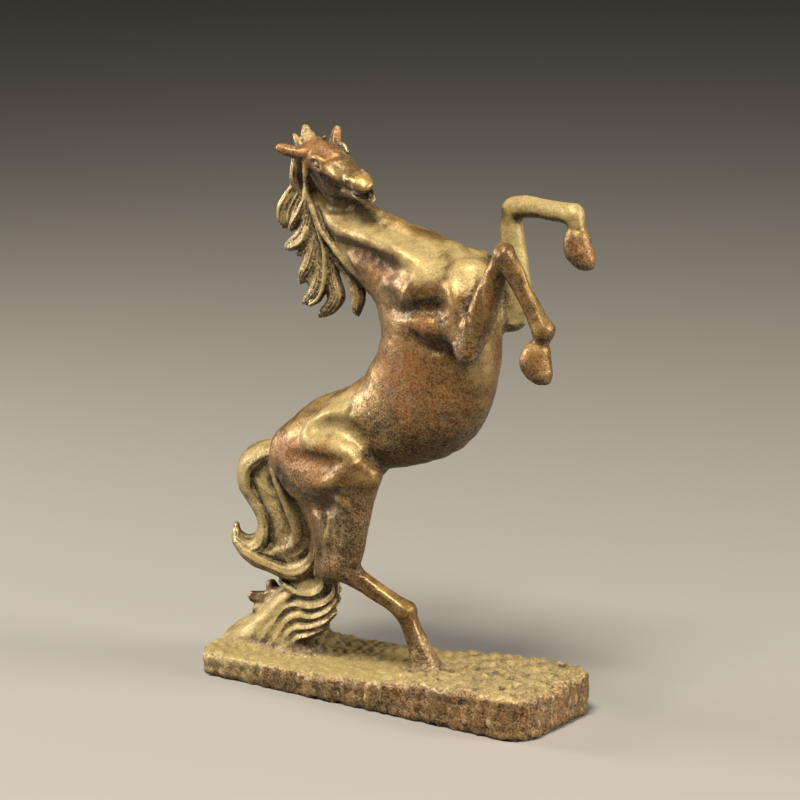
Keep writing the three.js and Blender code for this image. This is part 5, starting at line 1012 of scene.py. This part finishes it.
broad_cloud = noise(patina, P["Place"], 150.0, 5.0, 0.62)
small_cloud = noise(patina, P["Place"], 420.0, 4.0, 0.6)
cloud = noise(patina, P["Place"], 230.0, 6.0, 0.66)
mottle = weigh((broad_cloud, 0.6), (small_cloud, 0.4))
lid = times(ramp(patina, P["Upward"], 0.7, 0.95), P["Plinth"])
# On the lid's rough part its dents are darkened more: painted shade, since light from above shades them
# little.
dent_shade_zone = times(lid, ramp(patina, P["Coarse"], 0.4, 0.75))
# The hollow measures darken the colour: partly patina in the creases, partly painted shade; the widest, 4.5
# mm measure is painted shade.
depth = weigh((P["Occlusion shade"], 0.38), (P["Hollow"], 0.9), (P["Fine hollow"], 1.0))
hollow_patina_and_shade = times(depth, weigh((P["Plinth"], -0.35), (lid, -0.30), (dent_shade_zone, 1.0), base=1.0))
# Painted shade: faces turned down are darkened, as if in their own shadow.
underside_shade = ramp(patina, P["Upward"], 0.50, 0.12)
# Gold follows the clouds and the rubbed ridges; the gold added on faces turned up is a painted top light.
gold_and_top_light = share(0.56, 0.98, 0.85, (cloud, 1.0), (P["Upward"], 0.30), (P["Ridge"], 0.22), (hollow_patina_and_shade, -0.8))
red = share(0.58, 0.86, 0.9, (mottle, 1.0), (P["Red"], 0.40))
tarnish = share(0.45, 0.72, 0.75, (cloud, -1.0), (P["Coarse"], 0.12), base=1.0)
olive = share(0.68, 1.10, 0.84, (P["Olive"], 0.52), (P["Upward"], 0.20), (lid, 0.48), (dent_shade_zone, -0.14),
              (mottle, 0.6), (cloud, 0.4))
# Near-black: random dark patina, plus painted shade in the hollows and on faces turned down.
dark_patina_and_shade = share(0.32, 1.15, 0.95, (mottle, 0.4), (hollow_patina_and_shade, 1.0), (underside_shade, 1.05))
worn = share(0.55, 1.3, 0.6, (P["Fine ridge"], 1.2), (P["Ridge"], 0.6), (hollow_patina_and_shade, -1.5), (small_cloud, 0.6))
colour = mixed(patina, gold_and_top_light, BROWN, GOLD)
for amount, finish in ((red, RED_OXIDE), (tarnish, TARNISH), (olive, OLIVE_DIRT), (dark_patina_and_shade, UMBER_AND_SHADE),
                       (worn, PALE_GOLD)):
    colour = mixed(patina, amount, colour, finish)
low_spots = mixed(patina, weigh((P["Coarse"], 0.34), (olive, 0.08), base=0.10), colour, UMBER_AND_SHADE)
# Painted glints: pale gold specks where the speckle is high, more on coarse skin.
painted_glints = mixed(patina, weigh((P["Coarse"], 0.28), base=0.12), colour, PALE_GOLD)
link(patina, mixed(patina, P["Speckle"], low_spots, painted_glints), p_out.inputs["Colour"])
dull = maths(patina, "MAXIMUM", maths(patina, "MAXIMUM", olive, dark_patina_and_shade), times(red, 0.8))
link(patina, weigh((dull, -0.30), (worn, 0.4), base=0.55), p_out.inputs["Metal"])
rough = weigh((dull, 0.10), (small_cloud, 0.20), (worn, -0.12), (P["Speckle"], -0.10), base=0.36)
link(patina, rough, p_out.inputs["Roughness"])
link(patina, times(maths(patina, "SUBTRACT", 1.0, dull, clamp=True), 0.10), p_out.inputs["Gloss"])
print("patina nodes:", len(patina.nodes))

# %% [markdown]
# One material joins the two groups. The grain's height becomes a bump, about a quarter of
# a millimetre deep where the skin is roughest. The metal's own shine is kept low, because
# old wax and dirt dull it.

# %% Brass
BUMP_DEPTH = 0.00022
brass = bpy.data.materials.new("patinated_brass")
brass.use_nodes = True
tree = brass.node_tree
shader = tree.nodes["Principled BSDF"]
place = tree.nodes.new("ShaderNodeTexCoord").outputs["Object"]
grain_node, patina_node = tree.nodes.new("ShaderNodeGroup"), tree.nodes.new("ShaderNodeGroup")
grain_node.node_tree, patina_node.node_tree = grain, patina
link(tree, place, grain_node.inputs["Place"])
link(tree, place, patina_node.inputs["Place"])
link(tree, grain_node.outputs["Speckle"], patina_node.inputs["Speckle"])
for label, name in KEPT.items():
    kept = tree.nodes.new("ShaderNodeAttribute")
    kept.attribute_name = name
    link(tree, kept.outputs["Fac"], patina_node.inputs[label])
    if label == "Coarse":
        link(tree, kept.outputs["Fac"], grain_node.inputs["Coarse"])
bump = tree.nodes.new("ShaderNodeBump")
bump.inputs["Strength"].default_value = 1.0
bump.inputs["Distance"].default_value = BUMP_DEPTH
link(tree, grain_node.outputs["Height"], bump.inputs["Height"])
shader.inputs["Specular IOR Level"].default_value = 0.18
shader.inputs["Coat Roughness"].default_value = 0.38
link(tree, bump.outputs["Normal"], shader.inputs["Normal"])
for label, socket in (("Colour", "Base Color"), ("Metal", "Metallic"), ("Roughness", "Roughness"),
                      ("Gloss", "Coat Weight")):
    link(tree, patina_node.outputs[label], shader.inputs[socket])
mesh.materials.clear()
mesh.materials.append(brass)
print("brass nodes:", len(tree.nodes))

# %% [markdown]
# A plain pale floor carries the statue. The photograph is lit by one warm lamp above
# and a little left of the camera, a weaker one from the right and a thin light along
# the left edge. Three soft panels do the same here.

# %% Floor, light and air
floor_mesh = bpy.data.meshes.new("floor")
floor_mesh.from_pydata([(-3, -3, 0), (3, -3, 0), (3, 3, 0), (-3, 3, 0)], [], [(0, 1, 2, 3)])
floor = bpy.data.objects.new("floor", floor_mesh)
bpy.context.scene.collection.objects.link(floor)
pale = bpy.data.materials.new("pale_floor")
pale.use_nodes = True
pale.node_tree.nodes["Principled BSDF"].inputs["Base Color"].default_value = (0.200, 0.190, 0.175, 1)
pale.node_tree.nodes["Principled BSDF"].inputs["Roughness"].default_value = 0.8
floor_mesh.materials.append(pale)
world = bpy.data.worlds.new("studio")
bpy.context.scene.world = world
world.use_nodes = True
world.node_tree.nodes["Background"].inputs["Color"].default_value = (0.74, 0.70, 0.64, 1)
world.node_tree.nodes["Background"].inputs["Strength"].default_value = 0.07
across = np.array([np.cos(AZIMUTH), np.sin(AZIMUTH), 0])


def panel(name, sideways, towards, height, size, power, colour):
    """A square light, placed by metres to the right of the camera's aim, towards the camera and up, and
    turned to face the aim."""
    spot = LOOK_AT + across * sideways + back * towards + np.array([0, 0, height])
    lamp = bpy.data.objects.new(name, bpy.data.lights.new(name, "AREA"))
    lamp.data.size, lamp.data.energy, lamp.data.color = size, power, colour
    z = unit(spot - LOOK_AT)
    x = unit(np.cross([0, 0, 1], z))
    turned = np.column_stack([x, np.cross(z, x), z, spot])
    lamp.matrix_world = Matrix([*turned.tolist(), [0, 0, 0, 1]])
    bpy.context.scene.collection.objects.link(lamp)


panel("key", -0.08, 0.24, 0.46, 0.18, 8.5, (1, 0.92, 0.78))
panel("right", 0.50, 0.16, 0.16, 0.20, 4.0, (1, 0.95, 0.86))
panel("left_edge", -0.42, -0.16, 0.16, 0.14, 2.4, (1, 0.95, 0.88))
print("lights:", len(bpy.data.lights))
